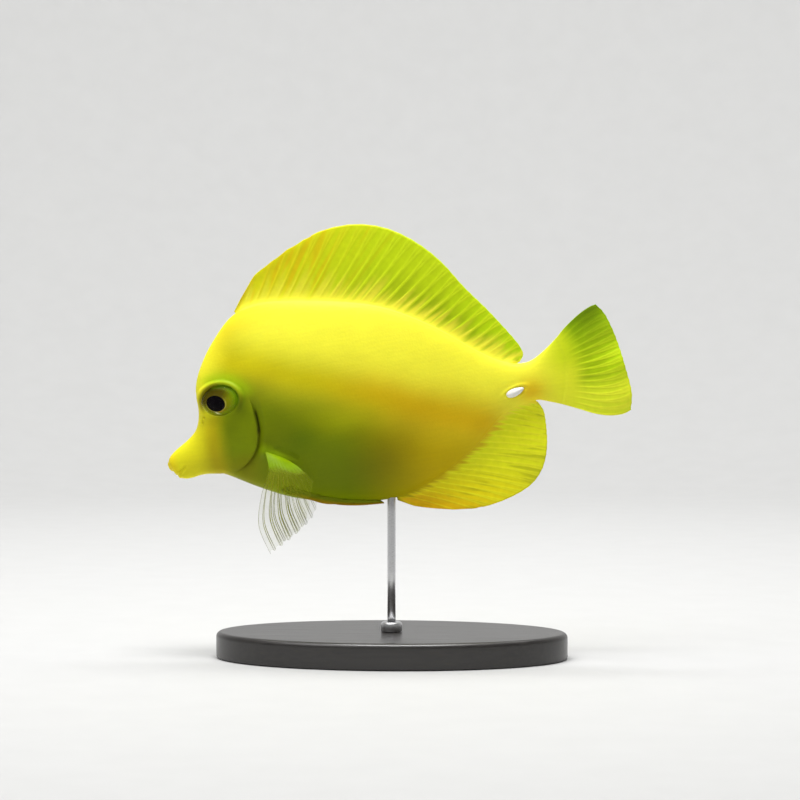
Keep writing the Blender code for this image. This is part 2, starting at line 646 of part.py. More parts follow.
def make_fish(finishes, home):
    skin, fin = finishes["skin"], finishes["fin"]
    fish = [make_head(skin, home), make_trunk(skin, home), make_tail_stem(skin, home)]
    back = body_edge(DORSAL_ROOT, 0)
    belly = body_edge(ANAL_ROOT, -1)
    dorsal = (DORSAL_EDGE, DORSAL_SPINES, DORSAL_RAYS, DORSAL_SWEEP)
    anal = (ANAL_EDGE, ANAL_SPINES, ANAL_RAYS, ANAL_SWEEP)
    fish.append(median_fin("dorsal_fin", back, *dorsal, fin, home))
    fish.append(median_fin("anal_fin", belly, *anal, fin, home))
    fish.append(make_tail_fin(fin, home))
    for name, side in SIDES.items():
        fish.append(cover_patch("gill_cover_" + name, side, COVER_FRONT, ROW["gill"], 0.0, skin, home))
        fish.append(make_eye("eye_" + name, side, finishes["eye"], home))
        fish.append(make_tail_spine("tail_spine_" + name, side, finishes["spine"], home))
        fish.append(make_pectoral("pectoral_fin_" + name, side, finishes["clear_fin"], home))
        fish.append(make_pelvic("pelvic_fin_" + name, side, fin, home))
    return fish


def main():
    clear_scene()
    home = collection("yellow_tang")
    finishes = {name: material(name) for name in FINISHES}
    fish = make_fish(finishes, home)
    pose = bpy.data.objects.new("pose", None)
    home.objects.link(pose)
    turn = Matrix.Rotation(-math.radians(HEAD_DOWN_DEG), 3, "Y")
    belly = turn @ Vector((ROD_MEETS_FISH[0], 0, ROD_MEETS_FISH[1]))
    pose.location = (Vector((0, 0, BELLY_HEIGHT)) - belly) * MM
    pose.rotation_euler = turn.to_euler()
    for obj in fish:
        obj.parent = pose
    for obj in fish + make_stand(finishes, home):
        obj.data.shade_smooth()
        obj.data.set_sharp_from_angle(angle=math.radians(SMOOTH_UP_TO_DEG))


main()
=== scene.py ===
import math

import bmesh
import bpy
import numpy as np
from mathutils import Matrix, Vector


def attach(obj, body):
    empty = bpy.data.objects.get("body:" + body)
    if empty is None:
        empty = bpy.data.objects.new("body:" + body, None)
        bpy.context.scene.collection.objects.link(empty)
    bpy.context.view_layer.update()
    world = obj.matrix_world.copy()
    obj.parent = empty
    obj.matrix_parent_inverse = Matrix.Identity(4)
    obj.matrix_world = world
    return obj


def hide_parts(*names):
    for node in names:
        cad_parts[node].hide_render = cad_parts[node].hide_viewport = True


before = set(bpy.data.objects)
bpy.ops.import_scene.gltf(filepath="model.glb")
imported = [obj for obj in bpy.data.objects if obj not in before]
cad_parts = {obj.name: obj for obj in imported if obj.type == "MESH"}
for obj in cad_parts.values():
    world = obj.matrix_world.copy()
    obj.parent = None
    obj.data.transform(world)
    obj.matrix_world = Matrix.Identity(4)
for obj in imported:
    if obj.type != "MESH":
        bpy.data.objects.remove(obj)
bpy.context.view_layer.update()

# The looks of a life-size yellow tang on a small stand. The fish's pieces are worked out in its own
# frame, in millimetres: x from the snout's tip to the tail, y to the fish's right and z up. to_world
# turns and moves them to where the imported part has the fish, in metres.

MM = 0.001
HEAD_DOWN = math.radians(10.0)
ROD_MEETS_FISH = (73.3, -25.4)
BELLY_HEIGHT = 54.0
SIDES = {"left": -1, "right": 1}

# Body sections from the snout's tip to the tail's root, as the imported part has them.
SECTION_FIELDS = "top_x top_z bottom_x bottom_z bulge drop half ridge_top ridge_bottom round".split()
SECTIONS = {
    "tip": (0.3, 0.3, 1.5, -2.9, 0.0, 0.0, 1.3, 0.0, 0.0, 0.8),
    "lips": (1.2, 2.0, 3.1, -4.7, -0.3, 0.0, 2.7, 0.0, 0.0, 0.85),
    "jaw": (3.9, 4.1, 5.1, -6.2, 0.0, 0.0, 3.4, 0.0, 0.0, 0.9),
    "snout": (8.2, 6.6, 7.6, -6.4, 0.4, 0.2, 4.0, 0.0, 0.0, 0.95),
    "bridge": (11.7, 9.8, 10.3, -6.0, 1.1, 0.5, 4.7, 0.0, 0.0, 1.0),
    "brow": (13.7, 15.8, 12.7, -6.0, 2.8, 1.2, 5.8, 0.0, 0.0, 1.0),
    "eye": (14.0, 23.8, 15.0, -6.3, 6.0, 2.2, 7.0, 0.0, 0.0, 1.0),
    "crown": (17.2, 31.0, 17.1, -6.7, 9.4, 3.4, 7.9, 0.0, 0.0, 1.0),
    "gill": (23.2, 39.0, 19.6, -7.4, 12.7, 8.7, 8.7, 0.0, 0.0, 1.05),
    "shoulder": (31.6, 46.3, 30.3, -13.9, 8.0, 7.2, 9.6, 0.8, 0.0, 1.1),
    "chest": (43.3, 48.2, 43.0, -19.9, 3.2, 4.5, 10.0, 0.9, 0.0, 1.15),
    "middle": (64.1, 44.7, 59.1, -23.3, 0.5, 3.0, 9.2, 0.9, 0.0, 1.2),
    "vent": (82.3, 39.4, 74.3, -25.0, 0.5, 1.5, 7.7, 0.9, 0.8, 1.25),
    "rear": (98.5, 29.6, 88.3, -21.2, 0.5, 0.7, 5.9, 0.9, 0.9, 1.2),
    "taper": (109.6, 20.4, 104.5, -12.4, 0.2, 0.3, 4.5, 0.9, 0.9, 1.1),
    "stem": (118.6, 14.4, 116.4, -2.6, 0.0, 0.0, 3.7, 0.8, 0.8, 1.0),
    "narrow": (126.5, 12.7, 126.7, -0.3, 0.0, 0.0, 3.2, 0.6, 0.6, 1.0),
    "flare": (132.6, 15.4, 131.6, -1.5, 1.0, 0.0, 2.4, 0.7, 0.7, 1.0),
    "root": (138.1, 19.4, 136.4, -3.4, 2.8, 0.0, 1.5, 0.9, 0.9, 1.0),
}
ROW = {name: row for row, name in enumerate(SECTIONS)}
LAST_ROW = len(SECTIONS) - 1
FLANK_POINTS = 138

# Eye: its place, half length and half height, the pupil's place and half size, how far the pupil's
# long axis leans, points round it, how deep the ball goes and how thick the cornea is.
EYE_AT = (21.9, 18.0)
EYE_HALF = (6.7, 5.35)
PUPIL_AT = (20.65, 17.25)
PUPIL_HALF = (3.35, 2.65)
PUPIL_LEAN = math.radians(-24)
EYE_TURNS = 120
EYE_DEPTH = 2.4
CORNEA_THICKNESS = 0.14

# Mouth: the slit's front end on the outline, its slope and how deep it goes back. Then the nostrils,
# each a place and a radius, and how far the snout's tip is rounded out.
MOUTH_AT = (3.0, -4.5)
MOUTH_SLOPE = math.radians(33)
MOUTH_DEPTH = 4.2
NOSTRILS = ((14.7, 11.6, 0.42), (15.5, 13.2, 0.5))
NOSE_LENGTH = 0.75

# Tail spine: its place, half length, half thickness and half height, and its lean.
SPINE_AT = (121.2, 3.6)
SPINE_HALF = (3.2, 0.9, 1.35)
SPINE_LEAN = math.radians(14)

# Fins: free edges, their roots as rows of the body, spines, soft rays, and how the rays lean back.
DORSAL_EDGE = (
    (31.6, 46.9), (35.2, 51.8), (41.0, 58.3), (46.8, 61.4), (52.4, 64.3), (58.0, 66.5), (64.4, 68.6),
    (71.2, 69.4), (78.0, 69.0), (84.9, 67.1), (91.5, 63.6), (98.4, 57.9), (104.4, 50.9), (110.3, 41.5),
    (116.5, 32.9), (121.8, 24.8), (125.2, 18.9), (125.9, 15.6), (124.4, 13.6),
)
DORSAL_ROOT = (ROW["shoulder"] + 0.03, ROW["narrow"] - 0.42)
ANAL_EDGE = (
    (75.4, -25.8), (78.2, -27.6), (81.8, -29.2), (89.0, -31.3), (97.1, -32.8), (103.4, -33.1),
    (109.8, -32.3), (116.2, -30.6), (121.0, -28.4), (124.5, -25.3), (126.9, -21.5), (128.7, -16.0),
    (129.5, -9.6), (129.5, -4.4), (127.9, -1.1),
)
ANAL_ROOT = (ROW["vent"] + 0.07, ROW["narrow"] + 0.12)
TAIL_UPPER = ((138.4, 20.3), (141.6, 22.9), (146.6, 26.0), (150.6, 27.7), (153.0, 28.1))
TAIL_REAR = (
    (153.0, 28.1), (155.2, 25.0), (156.8, 20.4), (158.2, 14.0), (159.2, 6.0), (159.9, -3.0), (158.6, -9.2),
)
TAIL_LOWER = ((136.7, -4.3), (141.6, -6.5), (146.4, -8.7), (150.9, -10.0), (155.4, -10.2), (158.6, -9.2))
TAIL_RAYS = 16
# The length of the body's last row, in millimetres.
ROOT_ROW_LENGTH = 5.6

# How far down the flank the rings of an upright fin's foot are, as shares of the deepest one's turn.
FOOT_TURNS = (1.0, 0.94, 0.84, 0.73, 0.62, 0.51, 0.41, 0.32, 0.23, 0.15, 0.07)

# Pectoral fins on the left side: the first, middle and last ray, each through five points x, y, z,
# with y measured out from the skin at its root.
PECTORAL_KEYS = (
    ((34.6, 0.7, -2.0), (35.2, 5.4, -8.0), (31.6, 7.6, -15.6), (29.0, 8.2, -25.4), (31.2, 8.2, -35.4)),
    ((38.0, 0.7, -4.0), (40.6, 5.8, -8.8), (41.6, 8.0, -14.6), (42.2, 9.0, -21.4), (43.8, 9.4, -28.0)),
    ((41.4, 0.7, -6.2), (44.6, 3.0, -8.2), (46.8, 4.6, -10.2), (48.4, 5.6, -12.2), (49.6, 6.2, -14.0)),
)
PECTORAL_ROOT = ((34.6, -2.0), (41.4, -6.2))
PECTORAL_CREASE = ((38.6, -1.4), (44.6, -5.4))
PECTORAL_RAYS = 11
PELVIC_ROOT = ((38.4, -16.6), (40.6, -15.4))
PELVIC_TIP = ((70.6, -26.0), (69.4, -24.9))
PELVIC_SAG = 2.4
PELVIC_CLEAR = 0.9
PELVIC_RAYS = 6

# Stand, about the world's z axis.
BASE_LENGTH = 120.0
BASE_WIDTH = 66.0
BASE_HEIGHT = 9.0
BASE_FLAT = 12.0
UPPER_EDGE = 1.8
LOWER_EDGE = 0.9
COLLAR_RADIUS = 3.6
COLLAR_HEIGHT = 3.2
ROD_RADIUS = 1.4
ROD_FOOT = 9.1
ROD_TOP = 60.0
SEAM = 0.3

# Studio, in metres.
FLOOR_RADIUS = 0.75
WALL_BEND = 0.6
WALL_TOP = 2.6


def smooth_step(low, high, value):
    t = np.clip((value - low) / (high - low), 0, 1)
    return t * t * (3 - 2 * t)


def hump(value, middle, width):
    return np.exp(-(((value - middle) / width) ** 2))


def circle(count):
    """Angles of count points round a whole turn."""
    return np.linspace(0, 2 * math.pi, count, endpoint=False)


def smooth_path(points, at):
    """Points on a smooth curve through points, where at counts from 0 at the first one."""
    points = np.asarray(points, float)
    at = np.clip(np.atleast_1d(at), 0, len(points) - 1)
    first = np.minimum(at.astype(int), len(points) - 2)
    t = (at - first)[:, None]
    before = points[np.maximum(first - 1, 0)]
    start, end = points[first], points[first + 1]
    after = points[np.minimum(first + 2, len(points) - 1)]
    return 0.5 * (
        2 * start
        + (end - before) * t
        + (2 * before - 5 * start + 4 * end - after) * t**2
        + (3 * start - before - 3 * end + after) * t**3
    )


def lengths_along(path):
    """The length along path from its start to each of its points."""
    return np.concatenate([[0], np.cumsum(np.linalg.norm(np.diff(path, axis=0), axis=1))])


def along(points, shares):
    """Points at the given shares of the length of the smooth curve through points."""
    fine = np.linspace(0, len(points) - 1, 40 * len(points))
    length = lengths_along(smooth_path(points, fine))
    return smooth_path(points, np.interp(np.asarray(shares) * length[-1], length, fine))


def eased_sections():
    """The section table at a hundred steps a row, with the ripple of its spline eased out."""
    rows = np.linspace(0, LAST_ROW, 100 * LAST_ROW + 1)
    values = smooth_path(list(SECTIONS.values()), rows)
    reach = 55
    weights = np.hanning(2 * reach + 1)
    before = 2 * values[0] - values[reach:0:-1]
    after = 2 * values[-1] - values[-2 : -reach - 2 : -1]
    padded = np.concatenate([before, values, after])
    eased = [np.convolve(column, weights / weights.sum(), "valid") for column in padded.T]
    return rows, dict(zip(SECTION_FIELDS, eased))


EASED_ROWS, EASED = eased_sections()


def body(rows, turns):
    """Points x, y, z on the fish's right flank. turns go from 0 on the back to pi on the belly."""
    rows, turns = np.broadcast_arrays(rows, turns)
    m = {name: np.interp(rows, EASED_ROWS, column) for name, column in EASED.items()}
    rise_x, rise_z = m["top_x"] - m["bottom_x"], m["top_z"] - m["bottom_z"]
    length = np.hypot(rise_x, rise_z)
    up_x, up_z = rise_x / length, rise_z / length
    middle_x, middle_z = (m["top_x"] + m["bottom_x"]) / 2, (m["top_z"] + m["bottom_z"]) / 2
    wide_x = middle_x + up_z * m["bulge"] - up_x * m["drop"]
    wide_z = middle_z - up_x * m["bulge"] - up_z * m["drop"]
    c = np.cos(turns)
    x = wide_x + c * rise_x / 2 + c**2 * (middle_x - wide_x)
    z = wide_z + c * rise_z / 2 + c**2 * (middle_z - wide_z)
    ridge = np.where(c > 0, m["ridge_top"], m["ridge_bottom"]).clip(0)
    y = ridge + (m["half"] - ridge) * np.sin(turns).clip(0) ** m["round"]
    return np.stack([x, y, z], axis=-1)


def outward(rows, turns):
    """Unit normals of the right flank at rows and turns."""
    rows, turns = np.broadcast_arrays(rows, turns)
    step = 0.01
    back = body(np.minimum(rows + step, LAST_ROW), turns) - body(np.maximum(rows - step, 0), turns)
    down = body(rows, np.minimum(turns + step, math.pi)) - body(rows, np.maximum(turns - step, 0))
    normal = np.cross(back, down)
    normal /= np.maximum(np.linalg.norm(normal, axis=-1), 1e-9)[..., None]
    return normal * np.where(normal[..., 1:2] < -0.2, -1, 1)


FLANK = body(np.linspace(0, LAST_ROW, 541)[:, None], np.linspace(0, math.pi, 181)[None, :]).reshape(-1, 3)


def flank_y(x, z, within=0.0):
    """The flank's half width beside the point x, z, or the greatest within a distance of it."""
    away = (FLANK[:, 0] - x) ** 2 + (FLANK[:, 2] - z) ** 2
    if within:
        return float(FLANK[:, 1][away < within**2].max(initial=0.0))
    return float(FLANK[:, 1][np.argmin(away)])


def to_world(points):
    """Points of the fish's frame, in millimetres, as world points in metres."""
    points = np.asarray(points, float)
    x, z = points[..., 0] - ROD_MEETS_FISH[0], points[..., 2] - ROD_MEETS_FISH[1]
    cos, sin = math.cos(HEAD_DOWN), math.sin(HEAD_DOWN)
    return np.stack([cos * x - sin * z, points[..., 1], sin * x + cos * z + BELLY_HEIGHT], axis=-1) * MM


def grid_faces(rows, columns, closed=False):
    a = np.arange(rows - 1)[:, None]
    b = np.arange(columns if closed else columns - 1)[None, :]
    right = (b + 1) % columns
    corners = (a * columns + b, a * columns + right, (a + 1) * columns + right, (a + 1) * columns + b)
    return np.stack(np.broadcast_arrays(*corners), axis=-1).reshape(-1, 4)


def add_object(name, data):
    obj = bpy.data.objects.new(name, data)
    bpy.context.scene.collection.objects.link(obj)
    return obj


def piece(name, points, faces, finish, nodes=(), marks=None):
    """A piece of the object as a smooth mesh, with marks, vectors that its finish reads."""
    mesh = bpy.data.meshes.new(name)
    mesh.from_pydata(np.asarray(points, float).reshape(-1, 3).tolist(), [], [list(f) for f in faces])
    for mark, values in (marks or {}).items():
        layer = mesh.attributes.new(mark, "FLOAT_VECTOR", "POINT")
        layer.data.foreach_set("vector", np.asarray(values, np.float32).ravel())
    bm = bmesh.new()
    bm.from_mesh(mesh)
    bmesh.ops.remove_doubles(bm, verts=bm.verts, dist=0.001 * MM)
    bmesh.ops.dissolve_degenerate(bm, edges=bm.edges, dist=0.0005 * MM)
    bmesh.ops.recalc_face_normals(bm, faces=bm.faces)
    bm.to_mesh(mesh)
    bm.free()
    mesh.shade_smooth()
    mesh.materials.append(finish)
    obj = add_object(name, mesh)
    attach(obj, "root")
    if nodes:
        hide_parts(*nodes)
    return obj


def leaf(name, centre, half, finish, nodes=(), marks=None):
    """A thin closed sheet through a grid of centre points, half as thick at each as half says."""
    rows, columns = half.shape
    normal = np.cross(np.gradient(centre, axis=0), np.gradient(centre, axis=1))
    normal /= np.maximum(np.linalg.norm(normal, axis=-1), 1e-9)[..., None]
    count = rows * columns
    front, back = centre + normal * half[..., None], centre - normal * half[..., None]
    face = grid_faces(rows, columns)
    index = np.arange(count).reshape(rows, columns)
    loop = np.concatenate([index[0], index[1:, -1], index[-1, -2::-1], index[-2:0:-1, 0]])
    nxt = np.roll(loop, -1)
    rim = np.stack([loop, nxt, nxt + count, loop + count], axis=1)
    faces = np.concatenate([face[:, ::-1], face + count, rim])
    points = to_world(np.concatenate([front.reshape(-1, 3), back.reshape(-1, 3)]))
    twice = {mark: np.concatenate([v.reshape(-1, 3)] * 2) for mark, v in (marks or {}).items()}
    return piece(name, points, faces, finish, nodes, twice)


# Skin: one surface over head, trunk, tail stem and gill covers.

GILL_FOLD = (
    # row, row under the cover's edge, height out of the flank
    (7.975, 7.975, 0.31), (7.990, 7.990, 0.31), (7.998, 8.000, 0.26), (8.002, 8.002, 0.12),
    (8.006, 7.992, -0.08), (8.010, 7.965, -0.35), (8.015, 7.955, -0.65), (8.022, 7.975, -0.88),
    (8.035, 8.020, -0.95), (8.060, 8.055, -0.90), (8.090, 8.090, -0.80),
)
GILL_TOP = 0.40
GILL_THROAT = 0.86


def skin_stations():
    """Rows along the body, the rows that they move to under the gill cover, and its height there."""
    before = np.concatenate([
        np.linspace(0, 3, 52, endpoint=False),
        np.linspace(3, 5, 40, endpoint=False),
        np.linspace(5, 7.96, 74),
    ])
    rise = 0.31 * smooth_step(7.35, 7.95, before)
    after = np.concatenate([
        np.linspace(8.12, 9, 24, endpoint=False),
        np.linspace(9, 14, 78, endpoint=False),
        np.linspace(14, 16.2, 48, endpoint=False),
        np.linspace(16.2, 18, 18),
    ])
    tuck = -0.78 * (1 - smooth_step(8.08, 8.60, after))
    fold = np.array(GILL_FOLD)
    rows = np.concatenate([before, fold[:, 0], after])
    under = np.concatenate([before, fold[:, 1], after])
    height = np.concatenate([rise, fold[:, 2], tuck])
    return rows, under, height


def eye_frame(x, z):
    """How far x, z is from the eye's middle, as a share of its outline, and at what angle."""
    across, up = (x - EYE_AT[0]) / EYE_HALF[0], (z - EYE_AT[1]) / EYE_HALF[1]
    return np.hypot(across, up), np.arctan2(up, across)


def eye_relief(x, z):
    """The socket, the fold of skin over the eye, high above and behind it, and its soft outer swell."""
    away, angle = eye_frame(x, z)
    fold = smooth_step(-0.75, 0.55, np.cos(angle - math.radians(62)))
    crest = 0.42 * fold * hump(away, 1.12, 0.105)
    swell = 0.42 * hump(away, 1.12, 0.30) * (0.15 + 0.85 * fold)
    groove = -0.16 * fold * hump(away, 1.34, 0.09)
    inset = 0.075 * (1 - fold)
    socket = -2.3 * (1 - smooth_step(0.88, 1.02, away + inset))
    return crest + swell + groove + socket


def mouth_relief(x, z):
    """The slit of the mouth with a lip above and below it."""
    cos, sin = math.cos(MOUTH_SLOPE), math.sin(MOUTH_SLOPE)
    inward = (x - MOUTH_AT[0]) * cos + (z - MOUTH_AT[1]) * sin
    across = (z - MOUTH_AT[1]) * cos - (x - MOUTH_AT[0]) * sin
    here = (1 - smooth_step(MOUTH_DEPTH - 1.4, MOUTH_DEPTH + 0.4, inward)) * smooth_step(-3.0, -1.2, inward)
    lips = 0.14 * hump(across, 0.85, 0.60) + 0.18 * hump(across, -0.90, 0.55)
    behind = -0.06 * hump(across, -2.0, 0.6)
    slit = -0.34 * hump(across, 0, 0.32) * (0.5 + 0.5 * smooth_step(0, 1.6, inward))
    full = 0.50 * hump(np.hypot(x - 3.3, z + 5.2), 0, 1.9) + 0.22 * hump(np.hypot(x - 0.8, z + 2.4), 0, 1.6)
    return here * (lips + behind + slit) + full


def nostril_relief(x, z):
    total = 0.0
    for at_x, at_z, radius in NOSTRILS:
        away = np.hypot(x - at_x, z - at_z) / radius
        total = total - 0.65 * hump(away, 0, 0.75) + 0.13 * hump(away, 1.35, 0.35)
    return total


def distance_to_line(x, z, start, end):
    """Distance of x, z from the line between two points, and the share of the line it is beside."""
    dx, dz = end[0] - start[0], end[1] - start[1]
    share = np.clip(((x - start[0]) * dx + (z - start[1]) * dz) / (dx * dx + dz * dz), 0, 1)
    return np.hypot(x - start[0] - share * dx, z - start[1] - share * dz), share


def spine_relief(x, z):
    """The groove that the tail spine folds into, and the low sheath round it."""
    cos, sin = math.cos(SPINE_LEAN), math.sin(SPINE_LEAN)
    dx, dz = x - SPINE_AT[0], z - SPINE_AT[1]
    away = np.hypot((dx * cos + dz * sin) / SPINE_HALF[0], (dz * cos - dx * sin) / SPINE_HALF[2])
    return 0.22 * hump(away, 1.42, 0.30) - 0.45 * (1 - smooth_step(0.85, 1.2, away))


def cheek_relief(x, z):
    """Soft bone under the skin: the front cover's edge on the cheek and the hollow before the eye."""
    edge, _ = distance_to_line(x, z, (22.5, 10.6), (19.4, -1.5))
    hollow = np.hypot((x - 13.6) / 2.6, (z - 8.6) / 5.0)
    return 0.14 * hump(edge, 0, 1.3) - 0.16 * hump(hollow, 0, 1.0)


def gill_part(share):
    """1 where the gill cover is on a ring, at a share of the way from back to belly, and 0 off it."""
    below_top = smooth_step(GILL_TOP - 0.035, GILL_TOP + 0.03, share)
    return below_top * (1 - smooth_step(GILL_THROAT - 0.16, GILL_THROAT + 0.03, share))


def pectoral_relief(x, z):
    """The swell of flesh at the pectoral fin's root and the crease behind it."""
    swell, beside = distance_to_line(x, z, *PECTORAL_ROOT)
    crease, _ = distance_to_line(x, z, *PECTORAL_CREASE)
    return hump(swell, 0, 2.1) * (1 - 0.45 * beside) - 0.5 * hump(crease, 0, 0.75)


def nose_rings(first):
    """Rings ahead of the snout's first one, which shrink to a point."""
    middle = np.array([first[:, 0].mean(), 0, first[:, 2].mean()])
    ahead = NOSE_LENGTH * np.array([-0.94, 0, -0.34])
    angles = np.linspace(math.pi / 2, 0, 9)[:-1]
    return np.array([middle + (first - middle) * math.cos(a) + ahead * math.sin(a) for a in angles])


def tail_rings(last):
    """Rings behind the body's last one, sunk in the tail fin."""
    return np.array([last * (1, 1 - 0.22 * k, 1) + np.array([0.45 * k, 0, 0]) for k in (1, 2, 3)])


def make_skin(finish):
    turns = np.linspace(0, math.pi, FLANK_POINTS)
    rows, under, height = (column[:, None] for column in skin_stations())
    share = turns[None, :] / math.pi
    gill = gill_part(share)
    flap = 0.055 * hump(share, 0.512, 0.020) + 0.02 * hump(share, 0.59, 0.05)
    place = rows + gill * (under - rows) + gill * hump(rows, 8.0, 0.16) * flap
    base, normal = body(place, turns[None, :]), outward(place, turns[None, :])
    x, z = base[..., 0], base[..., 2]
    relief = gill * height - 0.06 * smooth_step(17.5, 18, rows) * np.sin(turns) ** 0.5
    for part in (eye_relief, mouth_relief, nostril_relief, spine_relief, cheek_relief, pectoral_relief):
        relief = relief + part(x, z)
    flank = base + normal * relief[..., None]
    flank[:, (0, -1), 1] = base[:, (0, -1), 1]

    nose, sunk = nose_rings(flank[0]), tail_rings(flank[-1])
    flank = np.concatenate([nose, flank, sunk])
    place = np.pad(place, ((len(nose), len(sunk)), (0, 0)), constant_values=((0, LAST_ROW), (0, 0)))
    points = np.concatenate([flank, flank[:, ::-1] * (1, -1, 1)], axis=1)
    turn = np.broadcast_to(share, place.shape)
    lie = np.stack([place, turn, turn * 0], axis=-1)
    lie = np.concatenate([lie, lie[:, ::-1]], axis=1)

    ring_count, columns = points.shape[:2]
    across = np.arange(FLANK_POINTS - 1)
    last = (ring_count - 1) * columns
    closing = last + np.stack([across, across + 1, columns - 2 - across, columns - 1 - across], axis=1)
    faces = np.concatenate([grid_faces(ring_count, columns, closed=True), closing])
    nodes = ("head", "trunk", "tail_stem", "gill_cover_left", "gill_cover_right")
    return piece("skin", to_world(points), faces, finish, nodes, {"lie": lie})


# Eyes.


def eye_dome(x, z, low):
    """y of the eye's dome beside x, z, sunk by low, with the slope of the head round it."""
    half_x, half_z = EYE_HALF
    sides = [flank_y(EYE_AT[0] + dx, EYE_AT[1]) for dx in (-half_x, half_x)]
    ends = [flank_y(EYE_AT[0], EYE_AT[1] + dz) for dz in (-half_z, half_z)]
    level = (sum(sides) + sum(ends)) / 4
    slope_x, slope_z = (sides[1] - sides[0]) / (2 * half_x), (ends[1] - ends[0]) / (2 * half_z)
    away, _ = eye_frame(x, z)
    rise = 1.95 * np.sqrt(np.clip(1 - away**2, 0, 1)) ** 1.15
    return level + slope_x * (x - EYE_AT[0]) + slope_z * (z - EYE_AT[1]) - 0.30 + rise - low


def eye_rings(shares, turns):
    """x, z on rings from the pupil's middle out to the eye's outline, for shares from 0 to 2: the
    pupil's edge is at 1 and the outline at 2."""
    cos, sin = np.cos(PUPIL_LEAN), np.sin(PUPIL_LEAN)
    a, b = PUPIL_HALF[0] * np.cos(turns), PUPIL_HALF[1] * np.sin(turns)
    pupil = np.stack([a * cos - b * sin, a * sin + b * cos], axis=-1) + PUPIL_AT
    outline = np.stack([np.cos(turns) * EYE_HALF[0], np.sin(turns) * EYE_HALF[1]], axis=-1) + EYE_AT
    inner, outer = np.clip(shares, 0, 1)[:, None, None], np.clip(shares - 1, 0, 1)[:, None, None]
    within = PUPIL_AT + (pupil - PUPIL_AT) * inner
    return np.where(shares[:, None, None] <= 1, within, pupil + (outline - pupil) * outer)


def make_eyeball(name, side, finish):
    turns = circle(EYE_TURNS)
    shares = np.concatenate([np.linspace(0, 0.96, 14), np.linspace(1.0, 1.06, 4), np.linspace(1.1, 2, 30)])
    flat = eye_rings(shares, turns)
    x, z = flat[..., 0], flat[..., 1]
    k = shares[:, None]
    lens = 0.42 * np.sqrt(np.clip(1 - (k / 1.02) ** 2, 0, 1))
    low = 0.24 + np.where(k < 1, 0.50 - lens, 0.0) - 0.12 * hump(k, 1.06, 0.05) + 0.10 * hump(k, 1.35, 0.2)
    front = np.stack([x, eye_dome(x, z, low), z], axis=-1)
    edge = front[-1]
    middle = np.array([EYE_AT[0], edge[:, 1].mean(), EYE_AT[1]])
    deep = np.array([0, EYE_DEPTH, 0])
    angles = np.linspace(0.2, math.pi / 2, 8)
    bowl = np.array([middle + (edge - middle) * math.cos(a) - deep * math.sin(a) for a in angles])
    points = np.concatenate([front, bowl]) * (1, side, 1)
    shares = np.concatenate([shares, np.full(len(bowl), 2.0)])[:, None]
    iris = np.stack(np.broadcast_arrays(shares, np.cos(turns), np.sin(turns)), axis=-1)
    faces = grid_faces(*points.shape[:2], closed=True)
    piece("eyeball_" + name, to_world(points), faces, finish, ["eye_" + name], {"iris": iris})


def make_cornea(name, side, finish):
    """The clear dome over the eye, a thin closed shell a little wider than the eye's outline."""
    turns = circle(EYE_TURNS)
    spread = np.linspace(0, 1.005, 26)[:, None]
    x = EYE_AT[0] + EYE_HALF[0] * spread * np.cos(turns)
    z = EYE_AT[1] + EYE_HALF[1] * spread * np.sin(turns)
    outer, inner = (np.stack([x, eye_dome(x, z, low), z], axis=-1) for low in (0.0, CORNEA_THICKNESS))
    points = np.concatenate([outer, inner[::-1]]) * (1, side, 1)
    faces = grid_faces(*points.shape[:2], closed=True)
    piece("cornea_" + name, to_world(points), faces, finish)


# Tail spines.


def make_tail_spine(name, side, finish):
    """The white blade, folded in its groove: blunt at its lower front end, drawn out to the rear."""
    steps = np.linspace(0, math.pi, 40)[:, None]
    turns = circle(48)[None, :]
    length = -np.cos(steps)
    girth = np.sin(steps) ** 0.85 * (1 - 0.26 * length - 0.10 * length**2)
    up, out = np.sin(turns), np.cos(turns)
    keel = 1 + 0.16 * hump(up, 0, 0.35) * (out > 0)
    local_x = (length - 0.03) * SPINE_HALF[0]
    local_y = girth * out * SPINE_HALF[1] * 0.92 * keel
    local_z = girth * up * SPINE_HALF[2] * 1.02 + 0.10 * length**2
    cos, sin = math.cos(SPINE_LEAN), math.sin(SPINE_LEAN)
    x = SPINE_AT[0] + local_x * cos - local_z * sin
    z = SPINE_AT[1] + local_x * sin + local_z * cos
    points = np.stack([x, side * (flank_y(*SPINE_AT) + 0.05 + local_y), z], axis=-1)
    faces = grid_faces(*points.shape[:2], closed=True)
    piece("spine_" + name, to_world(points), faces, finish, ["tail_spine_" + name])


# Fins.


def ray_numbers(count, steps, width=0.22):
    """Numbers across a fin from 0 at its first ray, with steps of them from a ray to the next, then
    their shares of the way across, and 0 on a ray of that width and 1 between two."""
    number = np.linspace(0, count - 1, (count - 1) * steps + 1)
    return number, number / (count - 1), 1 - hump(number - np.round(number), 0, width)


def ray_crests(number, reach, spines, forks=(0.40, 0.68), spread=0.17, width=0.125):
    """1 along each ray and 0 on the web, over a grid of reach along the rays by their numbers. A soft
    ray forks into two and each half forks again."""
    number = number[None, :]
    nearest = np.round(number)
    off = number - nearest
    soft = (nearest >= spines).astype(float)
    first = spread * smooth_step(forks[0], 1.05, reach) * soft
    second = 0.5 * spread * smooth_step(forks[1], 1.1, reach) * soft
    thin = width * (1 - 0.42 * smooth_step(forks[0] - 0.1, 0.95, reach) * soft)
    crests = [hump(off, a * first + b * second, thin) for a in (-1, 1) for b in (-1, 1)]
    return np.maximum.reduce(crests)


